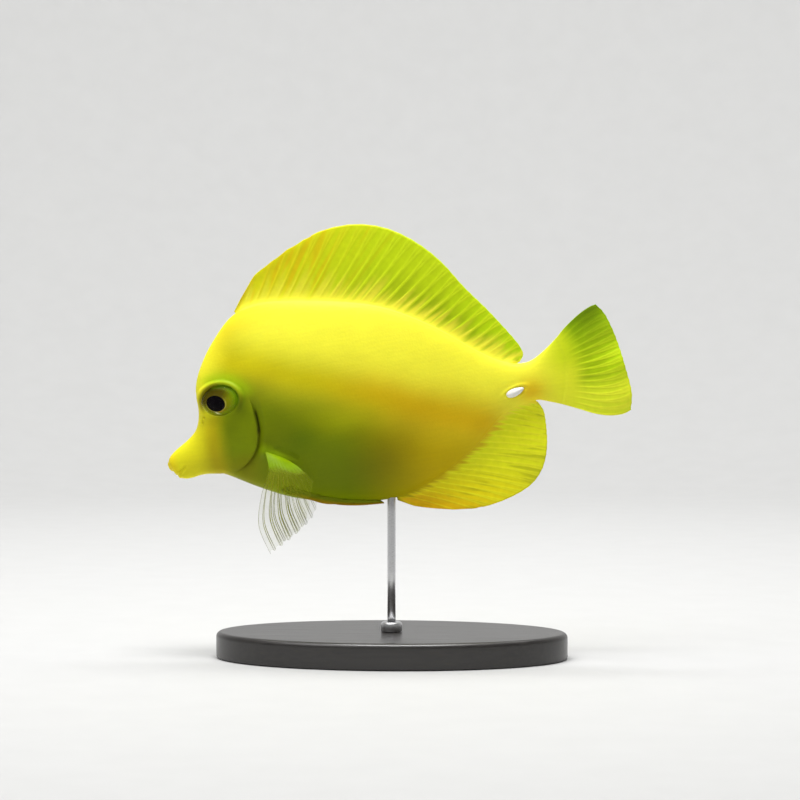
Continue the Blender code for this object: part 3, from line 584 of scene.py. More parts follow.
def ray_marks(number, reach, off_body, crest):
    """What a fin's finish reads: the ray's number, distance off the body, crest, and reach."""
    share = number / number.max()
    number, share, reach, off_body = (
        np.broadcast_to(values, crest.shape) for values in (number, share, reach, off_body)
    )
    ray = np.stack([number, off_body, crest], axis=-1)
    return {"ray": ray, "fin": np.stack([reach, share, np.zeros(crest.shape)], axis=-1)}


def foot_on_flank(rows, end):
    """Rings of the flank's own points below a fin's foot, from the deepest up to the body's outline,
    which is at the turn end."""
    height = np.hypot(*(body(rows, 0) - body(rows, math.pi))[:, (0, 2)].T)
    deepest = np.arccos(1 - 2 * np.minimum(1.7, 0.10 * height) / height)
    return body(rows, np.abs(end - deepest * np.array(FOOT_TURNS)[:, None]))


def foot_half(off_body, length):
    """The half thickness of an upright fin's web, with the flare at its foot, which fades off the body."""
    flare = 0.80 * np.exp(-off_body.clip(0) / 1.5) + 0.22 * np.exp(-off_body.clip(0) / 6)
    return 0.15 + flare * np.minimum(1, length / 10 + 0.4)


def upright_fin(name, root_rows, edge, spines, rays, sweep, bow, wave, finish):
    """A fin on the outline. It starts inside the body, flares at its foot to meet the flank, and its
    rays run to the free edge, with the web drawn in a little between their tips."""
    end = 0 if name == "dorsal_fin" else math.pi
    number, share, between = ray_numbers(spines + rays, 14)
    fine_rows = np.linspace(*root_rows, 160)
    outline = lengths_along(body(fine_rows, end)[:, (0, 2)])
    rows = np.interp(share * outline[-1], outline, fine_rows)
    start = body(rows, end)[:, (0, 2)]
    tips = along(edge, share**sweep)
    ray = tips - start
    length = np.maximum(np.linalg.norm(ray, axis=1), 0.5)
    spiny = np.round(number) < spines
    notch = np.where(spiny, 0.40, 0.09) * np.minimum(1, length / 8)
    ray = ray - ray / length[:, None] * (notch * between)[:, None]

    # The foot follows the flank down both sides, and stands out of it only where the fin is thicker.
    flank = foot_on_flank(rows, end)
    near = np.minimum(1.6, 0.3 * length)
    steps_near = np.array([0, 0.06, 0.14, 0.25, 0.40, 0.60, 0.80])[:, None] * near
    steps_far = near + (length - near) * np.linspace(0, 1, 40)[:, None] ** 1.1
    above = np.concatenate([steps_near, steps_far])
    reach = above / length
    bent = bow * reach * (1 - reach)
    x = np.concatenate([flank[..., 0], start[:, 0] + ray[:, 0] * reach - ray[:, 1] * bent])
    z = np.concatenate([flank[..., 2], start[:, 1] + ray[:, 1] * reach + ray[:, 0] * bent])
    sunk = np.hypot(flank[..., 0] - start[:, 0], flank[..., 2] - start[:, 1])
    off_body = np.concatenate([-sunk, above])
    reach = np.concatenate([sunk * 0, reach])
    crest = ray_crests(number, reach, spines)

    stout = np.where(spiny, 1.2, 1.0) * (0.35 + 0.65 * np.minimum(1, length / 12))
    rise = 0.15 * smooth_step(-0.5, 5.0, off_body) * (1 - 0.5 * reach) * stout
    half = foot_half(off_body, length) + rise * crest
    ridge = body(rows, end)[:, 1] * np.exp(-((above / 0.12) ** 2))
    room = np.concatenate([flank[..., 1] - 0.30 * smooth_step(0.15, 1.7, sunk), ridge])
    half = (half**4 + room**4) ** 0.25
    ends = smooth_step(0, 0.035, share) * (1 - smooth_step(0.975, 1.0, share))
    half = np.where(off_body < 0, half - 0.35 * (1 - ends), half * (0.4 + 0.6 * ends))
    half = half * (1 - 0.5 * smooth_step(0.92, 1.0, reach))
    ripple = wave * reach**1.6 * np.sin(2 * math.pi * (2.1 * share + 0.5 * reach) + 0.6)
    centre = np.stack([x, ripple, z], axis=-1)
    marks = ray_marks(number, reach, off_body, crest)
    return leaf(name + "_web", centre, half, finish, [name], marks)


def across_stem(row, shares):
    """Points down the stem's side at row, at the given shares of its height's length."""
    section = body(row, np.linspace(0, math.pi, 121))
    length = lengths_along(section[:, (0, 2)])
    return np.stack([np.interp(shares * length[-1], length, section[:, k]) for k in range(3)], axis=1)


def tail_sheet(share, outer, between):
    """x, z of the tail fin between its root, its two outer rays and its rear edge, with the root's
    half thickness."""
    stem_end = across_stem(LAST_ROW, share)
    root, rear = stem_end[:, (0, 2)], along(TAIL_REAR, share) - np.array([0.12, 0.0]) * between[:, None]
    upper, lower = along(TAIL_UPPER, outer), along(TAIL_LOWER, outer)
    s, t = share[None, :, None], outer[:, None, None]
    ends = (1 - s) * (1 - t) * upper[0] + s * (1 - t) * lower[0] + (1 - s) * t * rear[0] + s * t * rear[-1]
    flat = (1 - t) * root + t * rear + (1 - s) * upper[:, None] + s * lower[:, None] - ends
    return flat, stem_end[:, 1]


def make_tail_fin(finish):
    """A fan from the stem's end to the rear edge, between the two outer rays."""
    number, share, between = ray_numbers(TAIL_RAYS, 18, 0.24)
    outer = np.linspace(0, 1, 54) ** 1.1
    flat, root_half = tail_sheet(share, outer, between)

    # Its foot's rings lie on the stem's own surface, a little under it and then a little over it.
    inside, lift = np.array([(-2.4, -0.14), (-1.6, -0.07), (-0.9, -0.02), (-0.4, 0.02)]).T
    shrunk = [0.5 + (share - 0.5) * (1 + 0.03 * off) for off in inside]
    rings = np.array([across_stem(LAST_ROW + off / ROOT_ROW_LENGTH, s) for off, s in zip(inside, shrunk)])
    off_body = np.linalg.norm(flat - flat[0], axis=-1)
    off_body = np.concatenate([np.broadcast_to(inside[:, None], rings.shape[:2]), off_body])
    flat = np.concatenate([rings[..., (0, 2)], flat])
    reach = np.concatenate([inside * 0, outer])[:, None]
    crest = ray_crests(number, reach, 0, forks=(0.16, 0.46), spread=0.19, width=0.15)

    stout = np.where((np.round(number) < 1) | (np.round(number) > TAIL_RAYS - 2), 1.6, 1.0)
    plain = 1 - 0.55 * smooth_step(0.38, 0.12, share)[None, :]
    rise = 0.12 * smooth_step(1.0, 8.0, off_body) * (1 - 0.4 * reach) * stout * plain
    fade = np.exp(-off_body.clip(0) / 7.5 - (off_body.clip(0) / 11) ** 2)
    half = 0.16 + 0.12 * (1 - reach) + (root_half[None, :] - 0.24) * fade + rise * crest
    half[: len(rings)] = rings[..., 1] + lift[:, None]
    half = half * (1 - 0.55 * smooth_step(0.93, 1.0, reach))
    bend = 1.1 * reach**1.8 * np.sin(2 * math.pi * (0.9 * share + 0.12))
    ripple = 0.35 * reach**2 * np.sin(2 * math.pi * 3.2 * share)
    centre = np.stack([flat[..., 0], bend + ripple, flat[..., 1]], axis=-1)
    marks = ray_marks(number, reach, off_body, crest)
    return leaf("tail_fin_web", centre, half, finish, ["tail_fin"], marks)


def rooted(rays, inward):
    """A paired fin's grid of centre points from its rays, with a first row inside the body, and each
    point's distance off its ray's root."""
    centre = np.stack(rays, axis=1)
    centre = np.concatenate([(centre[0] + inward)[None], centre])
    off_body = np.linalg.norm(centre[1:] - centre[1], axis=-1)
    return centre, np.concatenate([np.full((1, len(rays)), -1.0), off_body])


def make_pectoral(name, side, finish):
    """A fan that leaves the flank sideways, bends down at its elbow and hangs, its soft rays forked."""
    number, share, between = ray_numbers(PECTORAL_RAYS, 22)
    reach = np.linspace(0, 1, 70)
    keys = np.array(PECTORAL_KEYS, float)
    for key in keys:
        key[:, 1] += flank_y(key[0, 0], key[0, 2])
    lines = smooth_path(keys.reshape(len(keys), -1), share * (len(keys) - 1))
    spans = (keys.shape[1] - 1) * reach * (1 - 0.035 * between[:, None])
    rays = [smooth_path(line.reshape(-1, 3), span) for line, span in zip(lines, spans)]
    centre, off_body = rooted(rays, np.array([-0.6, -1.8, 0.4]))
    reach = np.concatenate([[0], reach])[:, None]
    crest = ray_crests(number, reach, 1, forks=(0.05, 0.72), spread=0.135, width=0.075)
    foot = 0.62 * np.exp(-((off_body.clip(0) / 4.2) ** 1.5))
    stout = np.where(np.round(number) < 1, 1.5, 1.0)
    half = 0.07 + foot + 0.15 * stout * smooth_step(2.0, 7.0, off_body) * (1 - 0.55 * reach) * crest
    half = half * (1 - 0.5 * smooth_step(0.95, 1.0, reach))
    ripple = 0.30 * reach**1.5 * np.sin(2 * math.pi * (1.6 * share + 0.3))
    centre = (centre + np.stack([ripple * 0.4, ripple, ripple * 0], axis=-1)) * (1, side, 1)
    marks = ray_marks(number, reach, off_body, crest)
    return leaf("pectoral_web_" + name, centre, half, finish, ["pectoral_fin_" + name], marks)


def pelvic_ray(part, reach):
    """Points along the right pelvic fin at part of the way from its lowest ray to its highest: a line
    that sags a little and lies on the flank."""
    root, tip = (np.array(a) * (1 - part) + np.array(b) * part for a, b in (PELVIC_ROOT, PELVIC_TIP))
    flat = root + (tip - root) * reach[:, None]
    flat[:, 1] -= PELVIC_SAG * np.sin(math.pi * reach) * (1 - 0.4 * part)
    clear = PELVIC_CLEAR * (1 - 0.75 * part)
    out = np.array([flank_y(x, z, clear) for x, z in flat]) + clear
    for _ in range(6):
        out[1:-1] = (out[:-2] + 2 * out[1:-1] + out[2:]) / 4
    return np.stack([flat[:, 0], out, flat[:, 1]], axis=1)


def make_pelvic(name, side, finish):
    """A pointed fin folded back along the belly, its stout first ray lowest."""
    number, share, _ = ray_numbers(PELVIC_RAYS, 12)
    reach = np.linspace(0, 1, 46)
    centre, off_body = rooted([pelvic_ray(part, reach) for part in share], np.array([-1.0, -1.6, 0.8]))
    reach = np.concatenate([[0], reach])[:, None]
    crest = ray_crests(number, reach, 1, spread=0.16)
    stout = np.where(np.round(number) < 1, 2.0, 1.0)
    half = 0.13 + 0.5 * np.exp(-off_body.clip(0) / 3) + 0.13 * stout * (1 - 0.5 * reach) * crest
    marks = ray_marks(number, reach, off_body, crest)
    centre = centre * (1, side, 1)
    return leaf("pelvic_web_" + name, centre, half, finish, ["pelvic_fin_" + name], marks)


# Stand.


def turned(name, profile, oval, finish, nodes):
    """A turned piece about the world's z axis. profile is inset, z pairs in millimetres, where inset
    is measured in from the oval's two half axes, from the middle of the underside to the top's."""
    turns = circle(160)
    rings = []
    for inset, z in profile:
        a, b = max(oval[0] - inset, 0.0), max(oval[1] - inset, 0.0)
        rings.append(np.stack([a * np.cos(turns), b * np.sin(turns), np.full(len(turns), z)], axis=1))
    points = np.array(rings) * MM
    return piece(name, points, grid_faces(*points.shape[:2], closed=True), finish, nodes)


def rounded(inset, z, radius, start_deg, end_deg, steps=7):
    """Profile points on a quarter round about inset, z."""
    angles = np.radians(np.linspace(start_deg, end_deg, steps))
    return [(inset - radius * math.cos(a), z + radius * math.sin(a)) for a in angles]


def make_stand(wood, steel):
    """The oval base, the collar on it and the rod, which goes up into the belly."""
    middle = BASE_LENGTH
    base = [(middle, 0.0), (BASE_FLAT, 0.0), (1.2, 0.0)]
    base += rounded(LOWER_EDGE, LOWER_EDGE, LOWER_EDGE, -80, 0)
    base += rounded(UPPER_EDGE, BASE_HEIGHT - UPPER_EDGE, UPPER_EDGE, 0, 90, 12)
    base += [(inset, BASE_HEIGHT) for inset in (3.2, BASE_FLAT, middle)]
    turned("stand_plinth", base, (BASE_LENGTH / 2, BASE_WIDTH / 2), wood, ["stand_base"])
    foot, top = BASE_HEIGHT + 0.02, BASE_HEIGHT + SEAM + COLLAR_HEIGHT
    bore = COLLAR_RADIUS - ROD_RADIUS
    collar = [(bore + 0.02, foot), (0.3, foot), (0.0, foot + 0.3), (0.0, top - 1.1)]
    collar += rounded(1.0, top - 1.1, 1.0, 0, 80) + [(1.5, top), (bore + 0.1, top), (bore + 0.02, foot)]
    turned("stand_ferrule", collar, (COLLAR_RADIUS,) * 2, steel, ["stand_collar"])
    sides = [(0.0, z) for z in (ROD_FOOT, 30.0, 50.0, ROD_TOP - 0.5)]
    rod = [(ROD_RADIUS, ROD_FOOT), *sides, (0.3, ROD_TOP), (ROD_RADIUS, ROD_TOP)]
    turned("stand_post", rod, (ROD_RADIUS,) * 2, steel, ["stand_rod"])


# Finishes.


def tint(red, green, blue):
    """A screen colour, 0 to 255, as the linear colour that a shader takes."""
    levels = (level / 255 for level in (red, green, blue))
    linear = [v / 12.92 if v <= 0.04045 else ((v + 0.055) / 1.055) ** 2.4 for v in levels]
    return (*linear, 1.0)


class Amount:
    """A value over a surface. Arithmetic on it adds the Math nodes for it."""

    def __init__(self, finish, socket):
        self.finish, self.socket = finish, socket

    def __add__(self, other):
        return self.finish.maths("ADD", self, other)

    __radd__ = __add__

    def __sub__(self, other):
        return self.finish.maths("SUBTRACT", self, other)

    def __rsub__(self, other):
        return self.finish.maths("SUBTRACT", other, self)

    def __mul__(self, other):
        return self.finish.maths("MULTIPLY", self, other)

    __rmul__ = __mul__

    def __truediv__(self, other):
        return self.finish.maths("DIVIDE", self, other)


class Finish:
    """A material whose nodes are added by expressions."""

    def __init__(self, name):
        self.material = bpy.data.materials.new(name)
        self.material.use_nodes = True
        self.tree = self.material.node_tree
        self.tree.nodes.clear()
        self.output = self.node("ShaderNodeOutputMaterial")

    def node(self, kind, settings=None, sockets=None):
        made = self.tree.nodes.new(kind)
        for key, value in (settings or {}).items():
            setattr(made, key, value)
        for key, value in (sockets or {}).items():
            self.feed(made.inputs[key], value)
        return made

    def feed(self, socket, value):
        if isinstance(value, Amount):
            self.tree.links.new(value.socket, socket)
        elif isinstance(value, bpy.types.NodeSocket):
            self.tree.links.new(value, socket)
        else:
            socket.default_value = value

    def maths(self, operation, first, second=0.0):
        made = self.node("ShaderNodeMath", {"operation": operation}, {0: first, 1: second})
        return Amount(self, made.outputs[0])

    def smooth(self, value, low, high):
        """0 below low and 1 above high, with a soft step between."""
        settings = {"interpolation_type": "SMOOTHSTEP"}
        made = self.node("ShaderNodeMapRange", settings, {0: value, 1: low, 2: high, 3: 0.0, 4: 1.0})
        return Amount(self, made.outputs[0])

    def bell(self, value, middle, width):
        off = (value - middle) / width
        return self.maths("EXPONENT", off * off * -1.0)

    def sine(self, value):
        return self.maths("SINE", value)

    def larger(self, first, second):
        return self.maths("MAXIMUM", first, second)

    def mix(self, amount, first, second):
        """first where amount is 0 and second where it is 1."""
        made = self.node("ShaderNodeMix", {"data_type": "RGBA"}, {0: amount, 6: first, 7: second})
        return made.outputs[2]

    def shade(self, colour, amount):
        """colour times amount, a number round 1."""
        grey = self.node("ShaderNodeCombineColor", None, {0: amount, 1: amount, 2: amount}).outputs[0]
        settings = {"data_type": "RGBA", "blend_type": "MULTIPLY"}
        return self.node("ShaderNodeMix", settings, {0: 1.0, 6: colour, 7: grey}).outputs[2]

    def paint(self, colour, *coats):
        """colour under coats, each how much of it there is and its screen colour."""
        for amount, screen in coats:
            colour = self.mix(amount, colour, tint(*screen))
        return colour

    def parts(self, vector):
        made = self.node("ShaderNodeSeparateXYZ", None, {0: vector})
        return [Amount(self, socket) for socket in made.outputs]

    def mark_vector(self, name):
        """One of the marks of a piece's points, as a vector."""
        return self.node("ShaderNodeAttribute", {"attribute_name": name}).outputs["Vector"]

    def mark(self, name):
        """The three values of one of the marks."""
        return self.parts(self.mark_vector(name))

    def object_place(self):
        return self.node("ShaderNodeTexCoord").outputs["Object"]

    def fish_place(self):
        """The place in the fish's frame, in millimetres, as a vector."""
        cos, sin = math.cos(HEAD_DOWN), math.sin(HEAD_DOWN)
        shift = (ROD_MEETS_FISH[0] - BELLY_HEIGHT * sin, 0.0, ROD_MEETS_FISH[1] - BELLY_HEIGHT * cos)
        sockets = {"Vector": self.object_place(), "Location": shift, "Rotation": (0.0, HEAD_DOWN, 0.0)}
        sockets["Scale"] = (1 / MM,) * 3
        return self.node("ShaderNodeMapping", {"vector_type": "POINT"}, sockets).outputs[0]

    def noise(self, vector, scale, detail=2.0):
        made = self.node("ShaderNodeTexNoise", None, {"Vector": vector, "Scale": scale, "Detail": detail})
        return Amount(self, made.outputs[0])

    def stretch(self, vector, scales):
        sockets = {"Vector": vector, "Scale": scales}
        return self.node("ShaderNodeMapping", {"vector_type": "POINT"}, sockets).outputs[0]

    def drawn(self, vector, scales, detail):
        """Noise with a scale of its own along each axis."""
        return self.noise(self.stretch(vector, scales), 1.0, detail)

    def cells(self, vector, scale):
        made = self.node("ShaderNodeTexVoronoi", None, {"Vector": vector, "Scale": scale})
        return Amount(self, made.outputs["Distance"])

    def bump(self, height, depth_mm, strength=1.0):
        sockets = {"Height": height, "Distance": depth_mm * MM, "Strength": strength}
        return self.node("ShaderNodeBump", None, sockets).outputs[0]

    def surface(self, **sockets):
        named = {key.replace("_", " "): value for key, value in sockets.items()}
        return self.node("ShaderNodeBsdfPrincipled", None, named)

    def done(self, shader):
        self.tree.links.new(shader.outputs[0], self.output.inputs[0])
        return self.material


LEMON = tint(252, 246, 64)
GOLD = tint(232, 186, 4)
AMBER = tint(207, 181, 2)
# Olive for the lower front of the flank: partly the skin's own colour and partly painted shade.
OLIVE_AND_PAINTED_SHADE = tint(120, 140, 3)
LIME = tint(216, 240, 22)

# Soft patches on the skin: the middle's x and z and the reach along each in millimetres, and the strength.
# All but round_spine and lower_lid, which are the skin's own colour, are painted light or painted shade.
PATCHES = {
    "painted_flank_light": (62.0, 5.0, 16.0, 5.5, 0.36),
    "painted_pectoral_shadow": (48.0, 1.0, 6.5, 5.5, 0.5),
    "painted_hollow_shade": (40.0, 6.0, 8.0, 9.0, 0.22),
    "belly_shade": (74.0, -12.0, 12.0, 9.0, 0.28),
    "rear_shade": (84.0, -3.0, 10.0, 7.0, 0.13),
    "temple_shade": (35.0, 19.5, 7.0, 4.5, 0.17),
    "painted_shoulder_light": (34.0, 30.0, 8.0, 5.0, -0.12),
    "round_spine": (126.5, 3.0, 4.5, 4.0, 0.75),
    "painted_shade_behind_eye": (28.8, 16.0, 3.2, 5.0, 0.38),
    "painted_shade_under_eye": (24.5, 8.5, 3.5, 4.0, 0.16),
    "painted_shadow_behind_gill": (35.5, 0.0, 3.0, 4.0, 0.22),
    "lower_lid": (19.0, 11.8, 3.0, 2.0, 0.3),
}


def patches(f, x, z, *names):
    """The strength at x, z of the named patches together."""
    total = 0.0
    for name in names:
        middle_x, middle_z, reach_x, reach_z, strength = PATCHES[name]
        total = total + f.bell(x, middle_x, reach_x) * f.bell(z, middle_z, reach_z) * strength
    return total


def skin_noises(f, place):
    """Broad blotches, fine speckles and streaks along the fish."""
    return f.noise(place, 0.11, 3.0), f.noise(place, 1.3, 2.0), f.drawn(place, (0.10, 0.6, 1.3), 2.0)


def flank_tint(f, place, x, z):
    """Lemon on the back, gold across the flank, amber low at the rear and olive low at the front. The fall
    to the darker low colours is partly the fish's own colour and partly painted shade of a light from
    above.
    """
    cloud = f.noise(place, 0.07, 2.0)
    # light goes from 0 low on the flank to 1 on the back: the lemon above and the darker colours below are
    # partly painted light and painted shade.
    light = f.smooth(z + (x - 30.0) * 0.43 + (cloud - 0.5) * 3.0, 12.5, 46.0)
    low = f.mix(f.smooth(x, 36.0, 56.0), OLIVE_AND_PAINTED_SHADE, tint(111, 131, 2))
    low = f.mix(f.smooth(x, 58.0, 94.0), low, AMBER)
    gold = f.mix(f.smooth(x, 50.0, 85.0), tint(214, 199, 6), GOLD)
    colour = f.mix(f.bell(light, 0.50, 0.30) * 0.78, f.mix(light, low, LEMON), gold)
    # Painted light on the lower flank, and painted shadow behind the pectoral fin's root.
    colour = f.paint(
        colour,
        (patches(f, x, z, "painted_flank_light"), (206, 206, 8)),
        (patches(f, x, z, "painted_pectoral_shadow"), (80, 110, 1)),
    )
    # Painted shade: a soft strip across the rear flank and the shade patches.
    painted_shade_band = f.bell(z + x * 0.176, 21.0, 7.0) * f.smooth(x, 45.0, 60.0) * f.smooth(x, 114.0, 100.0) * 0.10
    shades = patches(f, x, z, "belly_shade", "rear_shade", "temple_shade", "painted_shoulder_light")
    return f.shade(colour, 1 - shades - painted_shade_band)


def stem_tint(f, colour, x, z):
    """colour with the tail stem's lemon, the tail root's lime and the orange round the spine."""
    colour = f.mix(f.smooth(x, 108.0, 124.0) * 0.8, colour, LEMON)
    lime = f.mix(f.smooth(z, 13.0, 5.0), tint(206, 228, 18), tint(238, 246, 44))
    colour = f.mix(f.smooth(x, 127.0, 142.0) * 0.85, colour, lime)
    return f.paint(colour, (patches(f, x, z, "round_spine"), (250, 200, 14)))


def face_tint(f, colour, x, z):
    """colour with the face's yellow, its darker golden cheek and breast, painted shade on the jaw and chin,
    round the eye and behind the gill opening, and the lower lid's brown.
    """
    face = f.smooth(x - f.larger(z - 20.0, 0.0) * 0.45, 24.0, 12.5)
    colour = f.mix(face, colour, f.mix(f.smooth(z, 18.0, 28.0), tint(232, 224, 34), tint(250, 246, 56)))
    colour = f.paint(
        colour,
        (f.bell(x, 17.5, 3.2) * f.smooth(z, 14.0, 8.0) * 0.45, (196, 164, 4)),
        (f.bell(x, 26.0, 6.5) * f.smooth(z, 1.0, -5.0) * 0.45, (138, 126, 2)),
    )
    # Painted shade low on the face, on the jaw and chin, and round the eye and behind the gill opening.
    jaw = f.bell(x, 15.5, 4.5) * f.smooth(z, 10.0, 4.0) * 0.15
    chin = f.bell(x, 14.0, 4.0) * f.smooth(z, 1.0, -4.0) * 0.10
    colour = f.shade(colour, 1 - jaw - chin - patches(f, x, z, "painted_shade_behind_eye", "painted_shade_under_eye", "painted_shadow_behind_gill"))
    return f.paint(colour, (patches(f, x, z, "lower_lid"), (168, 138, 8)))


def skin_tint(f, place):
    """The body's colour: lemon on the back and down the face to the snout, gold across the flank and amber
    low at the rear, and olive on the cheek and breast.
    The darker low colours are partly the skin's own and partly painted shade, with painted light and shade
    in patches."""
    x, _, z = f.parts(place)
    colour = face_tint(f, stem_tint(f, flank_tint(f, place, x, z), x, z), x, z)
    fin_root = f.bell(z + 1.9 + (x - 34.6) * 0.62, 0.0, 2.4) * f.bell(x, 38.0, 4.4)
    colour = f.paint(colour, (fin_root * 0.7, (140, 176, 4)))
    blotch, speckle, streaks = skin_noises(f, place)
    return f.shade(colour, 0.85 + blotch * 0.12 + speckle * 0.08 + streaks * 0.10)


def socket_tint(f, colour, x, z):
    """colour with painted shade round the eye: a dark green line in the gap at its upper rear, a fainter
    one in the groove outside it, and brown-olive shade on the skin before and above it; and the lime of the
    fold above the eye.
    """
    across, up = (x - EYE_AT[0]) / EYE_HALF[0], (z - EYE_AT[1]) / EYE_HALF[1]
    rim = f.maths("SQRT", across * across + up * up)
    rear = f.smooth(across * 0.7 + up * 0.6, 0.1, 0.8)
    brow = f.bell(rim, 1.40, 0.45) * f.smooth(across * 0.4 + up * 0.9, 0.3, 1.2)
    before = f.bell(rim, 1.0, 0.12) * f.smooth(up * 0.5 - across * 0.8, 0.2, 0.8)
    # Painted shade in the gap and groove behind the eye and on the skin before it; the lime is the fold's
    # own colour.
    return f.paint(
        colour,
        (f.bell(rim, 0.99, 0.055) * rear * 0.85, (60, 120, 2)),
        (f.bell(rim, 1.33, 0.07) * rear * 0.35, (110, 140, 6)),
        (brow * 0.60, (160, 200, 6)),
        (before * 0.8, (104, 92, 4)),
    )


def gill_tint(f, colour, row, turn):
    """colour with painted shade in the slit of the gill opening and a soft strip of painted shade below it.
    """
    # Painted shade: dark in the slit, softer under the lower part of the cover's edge.
    slit = f.bell(row, 8.065, 0.085) * f.smooth(turn, 0.405, 0.435) * f.smooth(turn, 0.545, 0.505)
    painted_shade_band = f.bell(row, 8.07, 0.09) * f.smooth(turn, 0.48, 0.54) * f.smooth(turn, 0.84, 0.72)
    return f.paint(colour, (slit * 0.9, (40, 38, 4)), (painted_shade_band * 0.45, (90, 82, 5)))


def skin_finish():
    """Satin skin of fine scales, with the lateral line and faint streaks along the body."""
    f = Finish("tang_skin")
    place = f.fish_place()
    x, _, z = f.parts(place)
    row, turn, _ = f.mark("lie")
    lips = f.smooth(x, 5.0, 1.5)
    colour = f.paint(skin_tint(f, place), (lips * 0.22, (250, 180, 20)))
    colour = gill_tint(f, socket_tint(f, colour, x, z), row, turn)
    # Painted light along the lower edge of the front of the body, where the skin turns down; the nape is
    # more golden.
    painted_belly_light = f.smooth(turn, 0.80, 0.94) * f.smooth(x, 76.0, 56.0)
    nape = f.smooth(turn, 0.24, 0.06) * f.bell(x, 36.0, 18.0)
    colour = f.paint(f.shade(colour, 1 + painted_belly_light * 0.30), (nape * 0.6, (242, 212, 24)))
    # Painted shade in the hollow behind the gill cover.
    colour = f.shade(colour, 1 - patches(f, x, z, "painted_hollow_shade"))

    blotch, speckle, streaks = skin_noises(f, place)
    scales = f.cells(f.stretch(place, (1.0, 1.0, 0.78)), 1.55)
    line_turn = 0.255 + f.smooth(row, 8.0, 16.0) * 0.22
    line = f.bell(turn, line_turn, 0.0045) * f.smooth(row, 8.1, 8.6)
    on_body = f.smooth(x, 9.0, 20.0) * f.smooth(x, 140.0, 130.0)
    height = speckle * 0.4 + (streaks * 1.2 - scales) * on_body - line * 0.35
    rough = 0.36 + blotch * 0.10 + scales * 0.06
    shader = f.surface(
        Base_Color=colour, Roughness=rough, Normal=f.bump(height, 0.045, 0.55), IOR=1.19,
        Subsurface_Weight=0.12, Subsurface_Radius=(1.0, 0.6, 0.1), Subsurface_Scale=0.0012,
    )
    return f.done(shader)


def along_rays(f, across, lengthwise):
    """Noise drawn out along a fin's rays: across cells to a ray's gap and lengthwise ones to the fin."""
    number, _, _ = f.mark("ray")
    reach, _, _ = f.mark("fin")
    place = f.node("ShaderNodeCombineXYZ", None, {0: number * across, 1: reach * lengthwise}).outputs[0]
    return f.noise(place, 1.0, 1.0)


def fin_finish(name, colours, through, flesh=9.0, ragged=0.7, shorten=0.0):
    """An upright or pelvic fin's finish. colours gives the web's and the rays' colours, through the
    colour of the light that passes the web, flesh how far the skin's colour runs up the foot,
    ragged how unevenly, and shorten how much less at the fin's rear."""
    f = Finish(name)
    place = f.fish_place()
    _, off_body, crest = f.mark("ray")
    reach, share, _ = f.mark("fin")
    web, ray = colours(f)
    colour = f.mix(f.smooth(crest, 0.0, 1.0), web, ray)
    wisps = f.smooth(along_rays(f, 1.5, 0.7), 0.32, 0.68)
    off_foot = off_body * (1 + f.smooth(share, 0.40, 0.80) * shorten)
    uneven = (0.5 - wisps) * (flesh * ragged) + (1 - crest) * ragged
    foot = f.larger(f.smooth(off_foot + uneven, flesh + 0.5, 0.5), f.smooth(off_body, 0.9, 0.0))
    colour = f.mix(foot, colour, skin_tint(f, place))
    mottle = f.noise(place, 0.5, 3.0)
    colour = f.shade(colour, 1 + (mottle - 0.5) * 0.20 * f.smooth(off_body, 0.5, 6.0))
    joints = f.sine(off_body * 11.0) * crest * f.smooth(reach, 0.15, 0.4) * 0.3
    fibres = f.drawn(f.mark_vector("ray"), (9.0, 0.12, 0.0), 2.0)
    normal = f.bump(joints * 0.25 + fibres * f.smooth(off_body, 0.0, 5.0) * 0.7, 0.05, 0.6)
    shader = f.surface(Base_Color=colour, Roughness=0.42 + mottle * 0.10, Normal=normal, IOR=1.24)
    glow = f.node("ShaderNodeBsdfTranslucent", None, {"Color": through, "Normal": normal})
    thin = f.smooth(off_body, 0.5, 8.0) * 0.11
    mixed = f.node("ShaderNodeMixShader", None, {0: thin, 1: shader.outputs[0], 2: glow.outputs[0]})
    return f.done(mixed)


def painted_ray_shadows(f, until):
    """Soft painted shadows beside the rays, in the lower part of the fin, of a different length at each."""
    _, _, crest = f.mark("ray")
    reach, _, _ = f.mark("fin")
    varied = along_rays(f, 1.3, 0.0)
    return f.bell(crest, 0.05, 0.24) * f.smooth(reach + (0.5 - varied) * 0.7, until, until * 0.35)


def dorsal_colours(f):
    """Lime web and yellow rays, with orange streaks between the front rays and along the front edge."""
    _, share, _ = f.mark("fin")
    front = f.smooth(share, 0.42, 0.02)
    streaks = f.smooth(share, 0.50, 0.10) * f.smooth(along_rays(f, 1.2, 1.0), 0.42, 0.66)
    web = f.paint(
        f.mix(f.smooth(share, 0.5, 0.9), LIME, tint(200, 234, 14)),
        (front * 0.75, (255, 242, 28)),
        (streaks * 0.50, (250, 194, 8)),
        (f.smooth(share, 0.03, 0.0) * 0.8, (246, 180, 10)),
    )
    # Painted shadow between the rays on the rear of the fin, low down.
    gap = painted_ray_shadows(f, 0.75) * f.smooth(share, 0.20, 0.6)
    return f.shade(web, 1 - gap * 0.34), f.mix(front, tint(224, 246, 30), tint(252, 236, 30))


